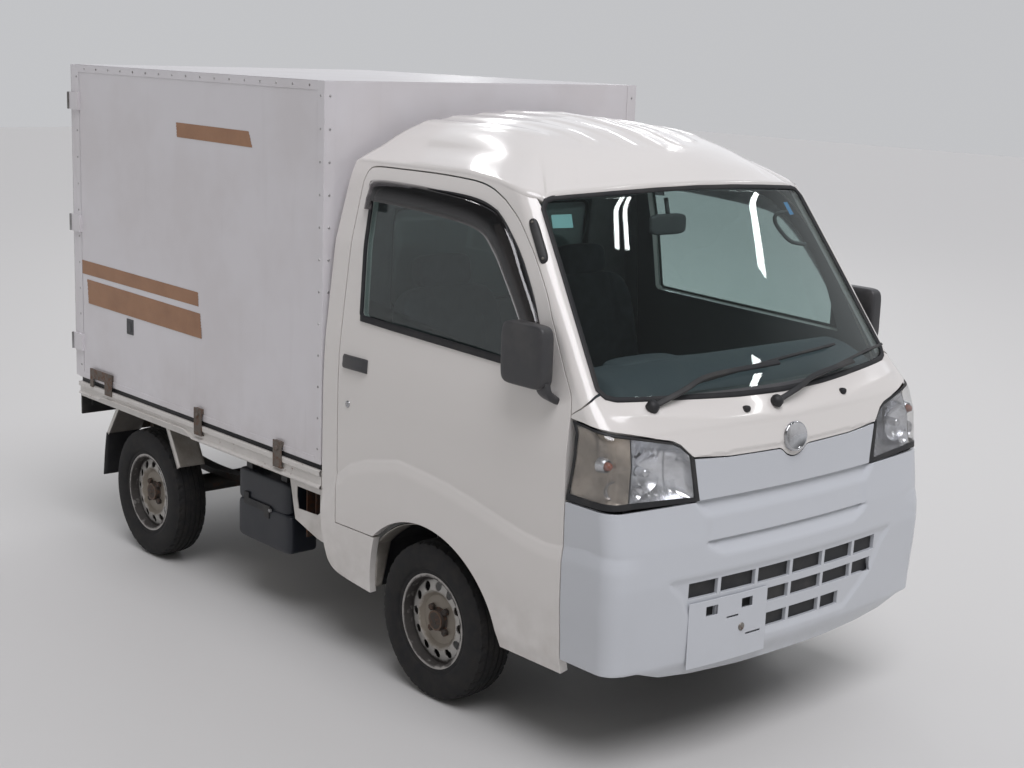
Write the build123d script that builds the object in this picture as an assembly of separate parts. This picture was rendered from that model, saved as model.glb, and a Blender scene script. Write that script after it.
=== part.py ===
from build123d import *
from math import cos, pi, radians, sin, sqrt
import os

os.makedirs("parts", exist_ok=True)

# Axes: +X is forward, +Y is the truck's left and +Z is up. The origin is on the ground,
# midway along the truck. Right-hand pieces are modelled first and mirrored to the left.

# Overall sizes, in millimetres
total_length = 3395.0
body_width = 1475.0
wheelbase = 1900.0
front_axle_x = 790.0
track_front = 1305.0
track_rear = 1300.0
ground_clearance = 290.0    # underside of the cab's skin
panel_gap = 5.0             # every gap round a door or lid
seat_clearance = 0.3        # running gap of joints that turn

nose_x = total_length / 2
tail_x = -total_length / 2
half_width = body_width / 2
rear_axle_x = front_axle_x - wheelbase

# Cab
cab_back_x = 192.0
cab_wall = 40.0
roof_wall = 30.0
roof_top = 1903.0
skin_wall = 25.0            # bumper and front panel
front_seam_x = 1432.0       # where bumper and front panel end and the door begins
cowl_z = 1120.0             # foot of the windscreen
lid_seam_z = 952.0          # lower edge of the front panel between the lamps
bulkhead_x = 1540.0
bulkhead_wall = 30.0
floor_z = 430.0
floor_wall = 30.0
seat_deck_z = 660.0
seat_riser_x = 1040.0
arch_centre = (762.0, 191.0)
arch_radius = 400.0
arch_rear_x = 465.0
arch_inner_y = 436.0
roof_seam_z = 1690.0        # welded joint between the roof and the sides
cowl_half = 640.0           # half width of the shelf under the windscreen
header_half = 560.0         # half width of the header over the windscreen
back_half = 590.0           # half width of the back panel between its corner posts
screen_top_z = 1677.0
screen_foot_z = 1133.0
screen_top_half = 598.0
screen_foot_half = 673.0
screen_corner = 45.0        # radius of the windscreen's corners
glass_wall = 6.0

# The cab's skin by height: setback from the nose, how far the front bows back to its
# corners, narrowing of the half width at the back and at the front, corner radius
cab_sections = (
    (ground_clearance, 29.5, 47, 12, 15, 60),
    (340, 7.5, 47, 2, 4, 62),
    (600, 0, 47, 0, 0, 62),
    (709, 5.5, 48, 0, 0, 62),
    (828, 18.5, 52, 0, 0, 62),
    (960, 24.5, 60, 0, 0, 62),
    (1040, 42.5, 68, 2, 6, 60),
    (1100, 79.5, 95, 5, 13, 52),
    (screen_foot_z, 97.5, 110, 7, 19, 45),
    (1457, 321, 111, 37, 58, 45),
    (screen_top_z, 472.5, 111, 82, 94, 45),
    (1760, 537.5, 111, 115, 125, 45),
    (1920, 707.5, 111, 180, 190, 45),
)
smallest_corner = 8.0

# Door
door_front_x = front_seam_x - panel_gap
door_back_x = 280.0
door_sill_z = 292.0
door_step_z = 485.0         # lower edge behind the wheel arch
door_belt_z = 1090.0
door_top_z = 1714.0
door_hinge_x = front_seam_x - 13.0
door_hinge_heights = (560.0, 900.0)
hinge_arm_height = 44.0
door_deepest_y = 585.0      # the door's slab ends here at its top edge
handle_x = 374.0
handle_z = 1060.0
handle_size = (138.0, 24.0, 48.0)
mirror_size = (190.0, 56.0, 190.0)
mirror_x = 1280.0
mirror_z = 1245.0

# Lamps and grille, as seen from the front
lamp_inner_y = 405.0
lamp_foot_z = 829.0
lamp_depth = 80.0
grille_rows = (
    # foot height, height of the openings, half width of the row
    (536, 50, 446),
    (466, 46, 430),
    (386, 44, 260),
)
grille_bar = 14.0
grille_pitch = 161.0
# Recessed bands between the lamps: foot height, height, half width
front_bands = (
    (815, 34, 384),
    (700, 34, 360),
)
band_depth = 10.0

# Number plate: pad on the bumper, and the two screw holes in line
plate_face_x = nose_x - 2.5
plate_y = -262.0
plate_z = 448.0
plate_hole_spacing = 210.0
plate_hole_radius = 3.3

# Wheels
tyre_radius = 266.0
tyre_width = 145.0
rim_radius = 168.0          # over the flange
bead_radius = 152.4
rim_wall = 4.0
rim_width = 118.0
bolt_circle = 100.0
bolt_count = 4
nut_radius = 9.0
window_count = 12
window_radius = 12.0
window_circle = 117.0
disc_ridge = 99.0           # radius of the disc's raised ring, inside its windows
disc_flat = 82.0            # radius of the disc's flat middle
disc_face = 24.0            # outer face of the flat, from the wheel's middle
disc_rise = 14.0
nut_length = 24.0
hub_radius = 56.0
hub_cap_radius = 34.0
hub_inner = 42.0
spindle_radius = 20.0
running_clearance = 0.05
kingpin_y = 560.0
knuckle_foot_z = 195.0
strut_radius = 20.0
knuckle_top_z = 340.0

# Frame, bed and box
rail_y = 380.0
rail_width = 60.0
rail_z = 450.0
rail_height = 90.0
rail_front_z = 325.0
rail_front_height = 75.0
frame_front_x = 1530.0
frame_back_x = tail_x + 57.5
bed_back_x = frame_back_x - 10
bed_floor_z = 640.0
bed_floor_wall = 28.0
bed_rail_height = 62.0
bed_rail_width = 44.0
box_front_x = 176.0
box_back_x = tail_x + 45.5
box_top_z = 1990.0
box_floor_z = 665.0
box_floor_wall = 35.0
box_half = 735.0
box_wall = 25.0
box_door_wall = 30.0
box_frame_wall = 36.0
box_hinge_out = 12.0
hinge_pin_radius = 6.0
hinge_half = 36.0
hinge_heights = (820.0, 1330.0, 1840.0)
lock_rod_radius = 7.5
lock_rod_y = -90.0
lock_block_half = 25.0
runner_y = 420.0            # the box stands on two runners on the bed
runner_half = 30.0

# Under the truck
cross_places = (150, -300, -700, -1250, -1600)
cross_half = 30.0
tail_bar_z = 440.0
tail_bar_half = 560.0
spring_half = 520.0
spring_eye_z = 400.0
spring_wall = 26.0
spring_leaf_half = 28.0
axle_radius = 38.0
gear_case_radius = 105.0
gear_nose = (150.0, 48.0)   # how far the case reaches forward, and its radius there
shaft_radius = 26.0
engine_x = (200.0, 700.0)
engine_z = (275.0, 585.0)
engine_half = 200.0
pipe_y = 210.0
pipe_z = 368.0
pipe_radius = 18.0
pipe_bend_x = 60.0
silencer_x = (-860.0, -420.0)
silencer_radius = 75.0
tail_pipe_x = -1560.0
tank_x = (-588.0, -200.0)
tank_y = (-690.0, -430.0)
tank_z = (170.0, 505.0)
battery_x = (-560.0, -200.0)
battery_y = (430.0, 690.0)
battery_z = (290.0, 520.0)

# Seats, dashboard and steering
seat_y = 330.0
seat_half = 235.0
head_rest_half = 130.0
dashboard_half = 640.0
wheel_centre = (1060.0, -330.0, 1050.0)
column_angle = 58.0
column_way = (cos(radians(column_angle)), 0, -sin(radians(column_angle)))
column_length = 780.0
column_radius = 22.0
switch_radius = 44.0        # the housing behind the steering wheel
steering_radius = 180.0
grip_radius = 12.0
steering_hub = (48.0, 36.0)


def outline(*points):
    """A closed face from corner points. A point with a third item is the middle of an arc."""
    count = len(points)
    edges = []
    for i, point in enumerate(points):
        if len(point) > 2:
            continue
        after = points[(i + 1) % count]
        if len(after) > 2:
            end = points[(i + 2) % count]
            edges.append(ThreePointArc(point[:2], after[:2], end[:2]).edge())
        else:
            edges.append(Line(point[:2], after[:2]).edge())
    return make_face(Wire(edges).edges())


def along_y(face, start, end):
    """A side view, in X and Z, carried from one Y to another."""
    return Pos(0, start, 0) * extrude(Plane.XZ * face, amount=end - start, dir=(0, 1, 0))


def along_x(face, start, end):
    """A front view, in Y and Z, carried from one X to another."""
    return Pos(start, 0, 0) * extrude(Plane.YZ * face, amount=end - start, dir=(1, 0, 0))


def block(x, y, z):
    """A box from its limits along each axis."""
    low = (x[0], y[0], z[0])
    size = (x[1] - x[0], y[1] - y[0], z[1] - z[0])
    return Pos(*low) * Box(*size, align=(Align.MIN, Align.MIN, Align.MIN))


def rod(start, end, radius):
    """A round bar between two points."""
    way = Vector(*end) - Vector(*start)
    plane = Plane(origin=start, z_dir=way.normalized())
    return plane * Cylinder(radius, way.length, align=(Align.CENTER, Align.CENTER, Align.MIN))


def turned(face, x, y):
    """A profile of radius and Y turned about the axle line through X and the wheel's centre."""
    spun = revolve(Plane.XY * face, axis=Axis.Y)
    return Pos(x, y, tyre_radius) * spun


def left(shape):
    return mirror(shape, about=Plane.XZ)


def save(name, shape):
    export_step(shape, f"parts/{name}.step")


def cab_section(inset, height, setback, bow, back_in, front_in, radius):
    """The cab's plan at one height: two straight sides, round corners and a bowed front."""
    front = nose_x - setback - inset
    back_half = half_width - back_in - inset
    front_half = half_width - front_in - inset
    corner = max(radius - inset, smallest_corner)
    corner_x = front - bow
    corner_y = front_half - corner
    side_x = corner_x - corner
    middle = corner * sqrt(0.5)
    back = cab_back_x - 20 + inset
    face = outline(
        (back, -back_half), (side_x, -front_half),
        (side_x + middle, -corner_y - middle, "arc"), (corner_x, -corner_y),
        (front, 0, "arc"), (corner_x, corner_y),
        (side_x + middle, corner_y + middle, "arc"), (side_x, front_half),
        (back, back_half))
    return Pos(0, 0, height) * face


def cab_prism(inset):
    return loft([cab_section(inset, *row) for row in cab_sections], ruled=True)


def roof_across(drop):
    """The front view of the roof: a shallow crown, sloping shoulders and a round edge."""
    crown, shoulder, edge = (360, roof_top - 51), (545, roof_top - 141), (650, roof_top - 203)
    far = half_width + 50
    face = outline(
        (-far, 0), (-far, edge[1]), (-edge[0], edge[1]),
        (-605, roof_top - 166, "arc"), (-shoulder[0], shoulder[1]), (-crown[0], crown[1]),
        (0, roof_top, "arc"), crown, shoulder,
        (605, roof_top - 166, "arc"), edge, (far, edge[1]), (far, 0))
    return Pos(0, 0, -drop) * along_x(face, -10, nose_x + 10)


def roof_along(drop, wall):
    """The side view: an upright back with a round top corner, and the roof down to the screen."""
    back = cab_back_x + wall
    face = outline(
        (back, 0), (back, 1150), (back + 14, 1500), (back + 45, roof_top - 60),
        (back + 55, roof_top - 24, "arc"), (back + 92, roof_top - 12),
        (545, roof_top, "arc"), (800, roof_top - 20),
        (1000, roof_top - 66, "arc"), (1160, roof_top - 146), (1250, screen_top_z),
        (nose_x + 10, screen_top_z), (nose_x + 10, 0))
    return Pos(0, 0, -drop) * along_y(face, -half_width - 60, half_width + 60)


outer = cab_prism(0) & roof_across(0) & roof_along(0, 0)
inner = cab_prism(cab_wall) & roof_across(roof_wall) & roof_along(roof_wall, cab_wall)
behind_skin = cab_prism(skin_wall)
behind_glass = cab_prism(glass_wall)

# Door outline in side view; the arch is the stretch between the step and the sill
arch_x, arch_z = arch_centre
arch_step_x = arch_x - sqrt(arch_radius ** 2 - (door_step_z - arch_z) ** 2)
arch_sill_x = arch_x + sqrt(arch_radius ** 2 - (door_sill_z - arch_z) ** 2)
door_points = (
    (door_front_x, door_sill_z), (door_front_x, door_belt_z), (1303, 1315),
    (1195, 1500, "arc"), (1000, door_top_z - 44),
    (870, door_top_z - 7, "arc"), (700, door_top_z), (360, door_top_z),
    (312, door_top_z - 18, "arc"), (296, door_top_z - 64), (door_back_x, 1150),
    (door_back_x, door_step_z), (arch_step_x, door_step_z),
    (arch_x, arch_z + arch_radius, "arc"), (arch_sill_x, door_sill_z))
door_face = outline(*door_points)
window_face = outline(
    (388, 1218), (1288, 1188), (1236, 1336), (1163, 1458, "arc"), (1062, 1570),
    (985, 1630, "arc"), (860, 1656), (700, 1664), (404, 1664), (368, 1650, "arc"), (352, 1614))
wheel_house = along_y(Pos(arch_x, arch_z) * Circle(arch_radius), arch_inner_y, half_width + 60)
wheel_house = wheel_house & block((arch_rear_x, nose_x), (0, 900), (-400, 900))


def screen_opening(x_start, x_end):
    face = outline((-screen_foot_half, screen_foot_z), (screen_foot_half, screen_foot_z),
                   (screen_top_half, screen_top_z), (-screen_top_half, screen_top_z))
    return along_x(fillet(face.vertices(), screen_corner), x_start, x_end)


def rear_window_opening(x_start, x_end):
    face = Pos(0, 1380) * RectangleRounded(940, 360, screen_corner)
    return along_x(face, x_start, x_end)


def lamp_region():
    """The right-hand lamp as seen from the front, wrapped round the corner to the door."""
    far = half_width + 20
    face = outline((-lamp_inner_y, lamp_foot_z), (-430, 975), (-452, 1014, "arc"), (-500, 1033),
                   (-650, 1066), (-far, 1082), (-far, lamp_foot_z + 2), (-661, lamp_foot_z + 8))
    return along_x(face, front_seam_x, nose_x + 10)


def make_cab_shell():
    far = nose_x + 10
    cabin = along_y(outline(
        (cab_back_x, seat_deck_z), (seat_riser_x, seat_deck_z), (seat_riser_x, floor_z),
        (bulkhead_x, floor_z), (bulkhead_x, cowl_z + 5), (1620, cowl_z + 20), (1620, 2000),
        (cab_back_x, 2000)), -half_width, half_width)
    under = along_y(outline(
        (0, 0), (0, seat_deck_z - floor_wall), (seat_riser_x - floor_wall, seat_deck_z - floor_wall),
        (seat_riser_x - floor_wall, floor_z - floor_wall), (far, floor_z - floor_wall), (far, 0)),
        -half_width, half_width)
    side_core = cab_prism(cab_wall)
    under_open = under & block((0, far), (-half_width + cab_wall, half_width - cab_wall), (0, 900))
    shell = outer - (inner & cabin) - (under & side_core) - under_open
    shell -= block((front_seam_x, far), (-900, 900), (0, cowl_z))
    tray = along_y(outline(
        (front_seam_x, floor_z - floor_wall), (bulkhead_x + bulkhead_wall, floor_z - floor_wall),
        (bulkhead_x + bulkhead_wall, cowl_z), (bulkhead_x, cowl_z), (bulkhead_x, floor_z),
        (front_seam_x, floor_z)), -half_width, half_width)
    shelf = block((bulkhead_x, far), (-cowl_half, cowl_half), (cowl_z - 14, cowl_z + 5))
    shell += (tray + shelf) & behind_skin
    post = block((front_seam_x, front_seam_x + 60), (-half_width, -half_width + cab_wall + 40),
                 (floor_z - floor_wall, cowl_z)) & behind_skin
    shell = shell + post + left(post)
    opening = along_y(offset(door_face, panel_gap, kind=Kind.INTERSECTION),
                      -half_width - 60, -door_deepest_y + panel_gap + 1)
    spare = panel_gap + 1
    opening -= (cab_prism(cab_wall + spare) & roof_across(roof_wall + spare)
                & roof_along(roof_wall + spare, 0))
    shell = shell - opening - left(opening)
    shell = shell - wheel_house - left(wheel_house)
    shell -= screen_opening(1000, far)
    shell -= rear_window_opening(0, cab_back_x + 100)
    arms = make_hinge_arms()
    return shell + arms + left(arms)


def split_cab(shell):
    """The cab's welded panels: roof with the screen's header, back, floor pressing and two sides."""
    everywhere = (-half_width - 10, half_width + 10)
    roof_region = block((0, nose_x), everywhere, (roof_seam_z, roof_top + 10)) + block(
        (seat_riser_x, nose_x), (-header_half, header_half), (screen_top_z - 5, roof_seam_z))
    between = (-half_width + cab_wall, half_width - cab_wall)
    floor_region = block((0, nose_x), between, (0, seat_deck_z)) + block(
        (bulkhead_x, nose_x), (-cowl_half, cowl_half), (0, screen_foot_z))
    back_region = block((0, door_back_x - panel_gap), (-back_half, back_half), (seat_deck_z, roof_seam_z))
    rest = shell - roof_region - floor_region - back_region
    right = rest & block((0, nose_x), (everywhere[0], 0), (0, roof_top))
    return {
        "cab_roof": shell & roof_region, "cab_floor": shell & floor_region,
        "cab_back": shell & back_region, "cab_side_right": right, "cab_side_left": left(right)}


def make_hinge_arms():
    """Two arms on the cab that carry the right-hand door just behind its front edge."""
    arms = []
    for z in door_hinge_heights:
        tall = (z - hinge_arm_height / 2, z + hinge_arm_height / 2)
        across = (-half_width, -half_width + cab_wall + 26)
        back_x = door_hinge_x - 49
        reach = block((back_x, back_x + 30), across, tall) & cab_prism(cab_wall + seat_clearance)
        root = block((back_x, front_seam_x + 20), across, tall) & cab_prism(cab_wall + panel_gap + 1)
        arms.append(reach + root)
    return arms[0] + arms[1]


def make_cab_glass():
    screen = (cab_prism(0) - behind_glass) & screen_opening(1000, nose_x + 10)
    rear = rear_window_opening(cab_back_x + 20, cab_back_x + 20 + glass_wall)
    return Compound(children=[*screen.solids(), *rear.solids()])


def front_skin(z_low, z_high):
    skin = (cab_prism(0) - behind_skin) & block((front_seam_x, nose_x + 10), (-900, 900), (z_low, z_high))
    lamp = lamp_region()
    return skin - lamp - left(lamp)


def make_bumper():
    skin = front_skin(0, lid_seam_z - 1)
    through = (nose_x - 200, nose_x + 10)
    for foot, height, half in grille_rows:
        for i in range(-3, 3):
            start = max(i * grille_pitch + grille_bar / 2, -half)
            end = min((i + 1) * grille_pitch - grille_bar / 2, half)
            if end > start:
                skin -= block(through, (start, end), (foot, foot + height))
    recess = cab_prism(0) - cab_prism(band_depth)
    for foot, height, half in front_bands:
        skin -= recess & block(through, (-half, half), (foot, foot + height))
    pad = block((plate_face_x - 30, plate_face_x), (plate_y - 125, plate_y + 125),
                (plate_z - 62, plate_z + 62))
    return skin + pad - plate_holes(plate_face_x - 60, plate_face_x + 5, plate_y, plate_z)


def plate_holes(x_start, x_end, y, z):
    """The two screw holes of a number plate."""
    reach = plate_hole_spacing / 2
    holes = [rod((x_start, y + side * reach, z), (x_end, y + side * reach, z), plate_hole_radius)
             for side in (-1, 1)]
    return holes[0] + holes[1]


def make_headlamp():
    region = lamp_region()
    lens = (cab_prism(0) - behind_skin) & region
    bowl = (behind_skin - cab_prism(lamp_depth)) & region
    bowl &= block((bulkhead_x + bulkhead_wall + 5, nose_x), (-900, 0), (0, 2000))
    return lens + bowl


def door_slab(face):
    slab = along_y(face, -half_width - 60, -door_deepest_y)
    return slab & (outer - inner)


def make_door():
    door = door_slab(door_face)
    door -= along_y(window_face, -half_width - 60, 0)
    return door - handle_block(0)


def handle_block(grow):
    length, depth, height = handle_size
    x = (handle_x - length / 2 - grow, handle_x + length / 2 + grow)
    z = (handle_z - height / 2 - grow, handle_z + height / 2 + grow)
    return block(x, (-half_width - 4, -half_width - 4 + depth + grow), z)


def make_door_glass():
    sheet = cab_prism(14) - cab_prism(14 + glass_wall)
    return sheet & along_y(window_face, -half_width, -door_deepest_y + 20)


def make_door_trim():
    length, depth, height = mirror_size
    outside = -half_width - 8
    head = block((mirror_x - length / 2, mirror_x + length / 2), (outside - depth, outside),
                 (mirror_z - height / 2, mirror_z + height / 2))
    head = fillet(head.edges().filter_by(Axis.Y), 22)
    foot = block((mirror_x + length / 2 - 50, mirror_x + length / 2 - 10), (outside - 34, -half_width + 30),
                 (mirror_z - height / 2 - 38, mirror_z - height / 2 + 10))
    foot -= outer
    trim = head + foot
    return Compound(children=[*trim.solids(), *handle_block(0).solids()])


def make_seat():
    """A cushion and a leaning back with its headrest, in one side view each."""
    deck = seat_deck_z
    cushion = outline((470, deck), (940, deck), (975, deck + 60), (960, deck + 120),
                      (720, deck + 112), (480, deck + 130))
    back = outline((330, deck + 60), (470, deck), (480, deck + 130), (400, deck + 580), (300, deck + 590))
    rest = outline((290, deck + 590), (395, deck + 580), (375, deck + 740), (295, deck + 740))
    width = (seat_y - seat_half, seat_y + seat_half)
    seat = along_y(cushion, *width) + along_y(back, width[0] + 10, width[1] - 10)
    return seat + along_y(rest, seat_y - head_rest_half, seat_y + head_rest_half)


def make_dashboard():
    face = outline((1250, 850), (1215, 960), (1222, 1050), (1262, 1086), (1330, 1100),
                   (bulkhead_x, 1106), (bulkhead_x, 850))
    return along_y(face, -dashboard_half, dashboard_half) & cab_prism(cab_wall)


def make_steering_wheel():
    plane = Plane(origin=wheel_centre, x_dir=(0, 1, 0), z_dir=column_way)
    wheel = Torus(steering_radius, grip_radius) + Cylinder(*steering_hub)
    for angle in (0, 180, 270):
        spoke = Rot(0, 0, angle) * Pos(steering_radius / 2, 0, 0) * Box(steering_radius - 4, 34, 10)
        wheel += spoke
    return plane * wheel


def make_steering_column():
    start = Vector(*wheel_centre) + Vector(*column_way) * (steering_hub[1] / 2 + seat_clearance)
    end = Vector(*wheel_centre) + Vector(*column_way) * column_length
    column = rod(tuple(start), tuple(end), column_radius)
    column += rod(tuple(start), tuple(start + Vector(*column_way) * 160), switch_radius)
    return column & block((500, bulkhead_x), (-700, 0), (floor_z, 1400))


# Running gear
def ring(x, y, points):
    return turned(outline(*points), x, y)


def make_tyre(x, y):
    """A solid ring: beads inside the rim's flanges, round shoulders and a flat tread."""
    bead, flank, tread = rim_width / 2 - rim_wall - 0.3, tyre_width / 2, tyre_width / 2 - 17
    lip = rim_radius + 1
    shoulder = tyre_radius - 16
    return ring(x, y, (
        (bead_radius + 0.3, -bead), (lip, -bead), (bead_radius + 64, -flank, "arc"),
        (shoulder, -flank + 5), (tyre_radius - 4, -flank + 10, "arc"), (tyre_radius, -tread),
        (tyre_radius, tread), (tyre_radius - 4, flank - 10, "arc"), (shoulder, flank - 5),
        (bead_radius + 64, flank, "arc"), (lip, bead), (bead_radius + 0.3, bead)))


def make_rim(x, y, outside):
    """A pressed rim: barrel with two flanges, a dished disc with a ring of holes, and the hub."""
    half = rim_width / 2
    barrel = ring(x, y, (
        (bead_radius - rim_wall, -half), (rim_radius, -half), (rim_radius, -half + rim_wall),
        (bead_radius, -half + rim_wall), (bead_radius, half - rim_wall), (rim_radius, half - rim_wall),
        (rim_radius, half), (bead_radius - rim_wall, half)))
    face, ridge = outside * disc_face, outside * (disc_face + disc_rise)
    wall = -outside * rim_wall
    disc = ring(x, y, (
        (spindle_radius + 10, face), (disc_flat, face), (disc_ridge, ridge),
        (bead_radius - rim_wall + 1, face), (bead_radius - rim_wall + 1, face + wall),
        (disc_ridge, ridge + wall), (disc_flat, face + wall), (spindle_radius + 10, face + wall)))
    inner, cap = -outside * hub_inner, face + outside * 22
    hub = ring(x, y, (
        (spindle_radius + running_clearance, inner), (hub_radius, inner), (hub_radius, face + wall),
        (hub_cap_radius, face + wall), (hub_cap_radius, cap), (spindle_radius + running_clearance, cap)))
    rim = barrel + disc + hub
    for i in range(window_count):
        angle = 2 * pi * i / window_count
        at = (x + window_circle * cos(angle), y, tyre_radius + window_circle * sin(angle))
        rim -= Pos(*at) * Rot(90, 0, 0) * Cylinder(window_radius, 90)
    for i in range(bolt_count):
        angle = 2 * pi * (i + 0.5) / bolt_count
        radius = bolt_circle / 2
        at = (x + radius * cos(angle), y + face, tyre_radius + radius * sin(angle))
        rim += Pos(*at) * Rot(90, 0, 0) * Cylinder(nut_radius, nut_length)
    return rim


def make_knuckle():
    """The right-hand knuckle: an upright round the steering axis, and the wheel's spindle."""
    upright = block((front_axle_x - 32, front_axle_x + 32), (-kingpin_y - 22, -kingpin_y + 22),
                    (knuckle_foot_z, knuckle_top_z))
    end_y = -track_front / 2 - 40
    spindle = rod((front_axle_x, -kingpin_y, tyre_radius), (front_axle_x, end_y, tyre_radius),
                  spindle_radius)
    arm = block((front_axle_x - 130, front_axle_x - 20), (-kingpin_y - 10, -kingpin_y + 12), (210, 226))
    return upright + spindle + arm


def strut(side, radius):
    """The tube from just above the knuckle up to the underside of the seat deck."""
    foot_z, top_z = knuckle_top_z + seat_clearance, seat_deck_z - floor_wall
    tube = rod((front_axle_x, side * (kingpin_y + 4), foot_z - 30),
               (front_axle_x, side * (kingpin_y - 40), top_z + 30), radius)
    return tube & block((0, nose_x), (-900, 900), (foot_z, top_z))


def make_front_suspension():
    """Cross member under the rails, lower arms out to the knuckles, and the strut tubes."""
    foot = knuckle_foot_z - seat_clearance
    cross = block((front_axle_x - 70, front_axle_x + 70), (-rail_y + rail_width, rail_y - rail_width),
                  (foot - 10, rail_front_z - 30))
    outer_y = rail_y + rail_width / 2
    cross += block((front_axle_x - 40, front_axle_x + 40), (-outer_y, outer_y),
                   (rail_front_z - 80, rail_front_z - 4))
    whole = cross
    for side in (-1, 1):
        ends = sorted((side * 300, side * (kingpin_y + 18)))
        whole += block((front_axle_x - 30, front_axle_x + 30), ends, (foot - 22, foot))
        whole += strut(side, strut_radius)
    for side in (-1, 1):
        y = (side * rail_y - 20, side * rail_y + 20)
        whole += block((front_axle_x - 40, front_axle_x + 40), y, (rail_front_z - 40, rail_front_z + 15))
    return whole


def make_frame():
    """Two rails that step up behind the front wheels, cross bars, spring hangers, tail bar."""
    low, high = rail_front_z, rail_front_z + rail_front_height
    rail = outline((frame_front_x, low), (frame_front_x, high), (940, high), (700, rail_z + rail_height),
                   (frame_back_x, rail_z + rail_height), (frame_back_x, rail_z), (740, rail_z), (860, low))
    inner_y, outer_y = rail_y - rail_width / 2, rail_y + rail_width / 2
    right = along_y(rail, -outer_y, -inner_y)
    for x in spring_ends():
        right += block((x - 25, x + 25), (-outer_y, -inner_y), (spring_eye_z, rail_z))
    frame = right + left(right)
    for x in cross_places:
        frame += block((x - cross_half, x + cross_half), (-inner_y, inner_y),
                       (rail_z + 15, rail_z + rail_height - 10))
    frame += block((frame_front_x - 60, frame_front_x), (-inner_y, inner_y), (low, high))
    for side in (-1, 1):
        y = (side * rail_y - 25, side * rail_y + 25)
        frame += block((frame_back_x, frame_back_x + 30), y, (tail_bar_z - 20, rail_z))
        frame += block((240, 300), y, (rail_z + rail_height, seat_deck_z - floor_wall))
    frame += block((frame_back_x - 25, frame_back_x), (-tail_bar_half, tail_bar_half),
                   (tail_bar_z - 40, tail_bar_z + 40))
    return frame - plate_holes(frame_back_x - 40, frame_back_x + 10, 0, tail_bar_z)


def spring_ends():
    return (rear_axle_x - spring_half, rear_axle_x + spring_half)


def make_rear_axle():
    """Axle tube with its round gear case, stub ends for the wheels, and two leaf springs."""
    stub_y = track_rear / 2 + 40
    tube_y = track_rear / 2 - 50
    centre = (rear_axle_x, 0, tyre_radius)
    axle = rod((rear_axle_x, -tube_y, tyre_radius), (rear_axle_x, tube_y, tyre_radius), axle_radius)
    axle += rod((rear_axle_x, -stub_y, tyre_radius), (rear_axle_x, stub_y, tyre_radius), spindle_radius)
    axle += Pos(*centre) * Sphere(gear_case_radius)
    axle += rod(centre, (rear_axle_x + gear_nose[0], 0, tyre_radius), gear_nose[1])
    top = tyre_radius + axle_radius - 3
    back, front = spring_ends()
    low = spring_eye_z - spring_wall
    spring = outline((back, low), (rear_axle_x, top, "arc"), (front, low),
                     (front, spring_eye_z), (rear_axle_x, top + spring_wall, "arc"), (back, spring_eye_z))
    for side in (-1, 1):
        axle += along_y(spring, side * rail_y - spring_leaf_half, side * rail_y + spring_leaf_half)
    return axle


def make_engine():
    """The block with its mounting arms out to the rails."""
    rail_inner = rail_y - rail_width / 2
    return block(engine_x, (-engine_half, engine_half), engine_z) + block(
        (430, 490), (-rail_inner, rail_inner), (rail_z + 20, rail_z + 50))


def make_propshaft():
    start = (engine_x[0], 0, tyre_radius + 70)
    end = (rear_axle_x + gear_nose[0], 0, tyre_radius)
    return rod(start, end, shaft_radius) - make_rear_axle() - make_engine()


def make_exhaust():
    """Pipe from the engine to a round silencer, and a tail pipe out to the left."""
    y, z = pipe_y, pipe_z
    bend, front, back = (pipe_bend_x, y, z), (silencer_x[1], y, z), (silencer_x[0], y, z)
    pipe = rod((engine_x[0] + 10, 150, 350), bend, pipe_radius) - make_engine()
    pipe += rod(bend, front, pipe_radius)
    pipe += Pos(*bend) * Sphere(pipe_radius)
    pipe += rod(front, back, silencer_radius)
    pipe += rod(back, (tail_pipe_x, y, z), pipe_radius)
    return pipe + block((-710, -690), (y - 10, y + 10), (z, rail_z + 15))


def make_tanks():
    """Right: the tank with its flap ahead. Left: the battery box. Both hang from the bed."""
    floor = bed_floor_z - bed_floor_wall
    tank = block(tank_x, tank_y, tank_z)
    tank = fillet(tank.edges().filter_by(Axis.Y), 30)
    tank += block((-420, -360), (-640, -480), (tank_z[1] - 5, floor))
    tank += block((-150, -142), (tank_y[0], -470), (205, floor))
    box = block(battery_x, battery_y, battery_z)
    box = fillet(box.edges().filter_by(Axis.Y), 18)
    box += block((-410, -350), (480, 640), (battery_z[1] - 5, floor))
    return Compound(children=[*tank.solids(), *box.solids()])


def make_guards():
    """Right-hand arch liner, sheet ahead of the rear wheel and flap behind it."""
    band = Circle(arch_radius - 0.3) - Circle(arch_radius - 10)
    liner = along_y(Pos(arch_x, arch_z) * band, -half_width + cab_wall + 12, -arch_inner_y)
    liner &= block((arch_rear_x, 1180), (-900, 0), (door_sill_z, 700))
    liner -= strut(-1, strut_radius + 6)
    top = bed_floor_z - bed_rail_height
    sheet = along_y(outline((-752, top), (-800, 396), (-803, 396), (-756, top)), -712, -470)
    flap = along_y(outline((-1448, top), (-1470, 215), (-1476, 215), (-1454, top)), -715, -560)
    return liner, sheet, flap


def make_bed():
    """Floor sheet with a channel rail along each side, on cross bars over the frame."""
    floor = block((bed_back_x, box_front_x), (-box_half + 1, box_half - 1),
                  (bed_floor_z - bed_floor_wall, bed_floor_z))
    rail = block((bed_back_x, box_front_x), (-box_half, -box_half + bed_rail_width),
                 (bed_floor_z - bed_rail_height, bed_floor_z + 5))
    bed = floor + rail + left(rail)
    for x in cross_places:
        bed += block((x - cross_half, x + cross_half), (-box_half + 30, box_half - 30),
                     (rail_z + rail_height, bed_floor_z - bed_floor_wall))
    return bed


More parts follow.
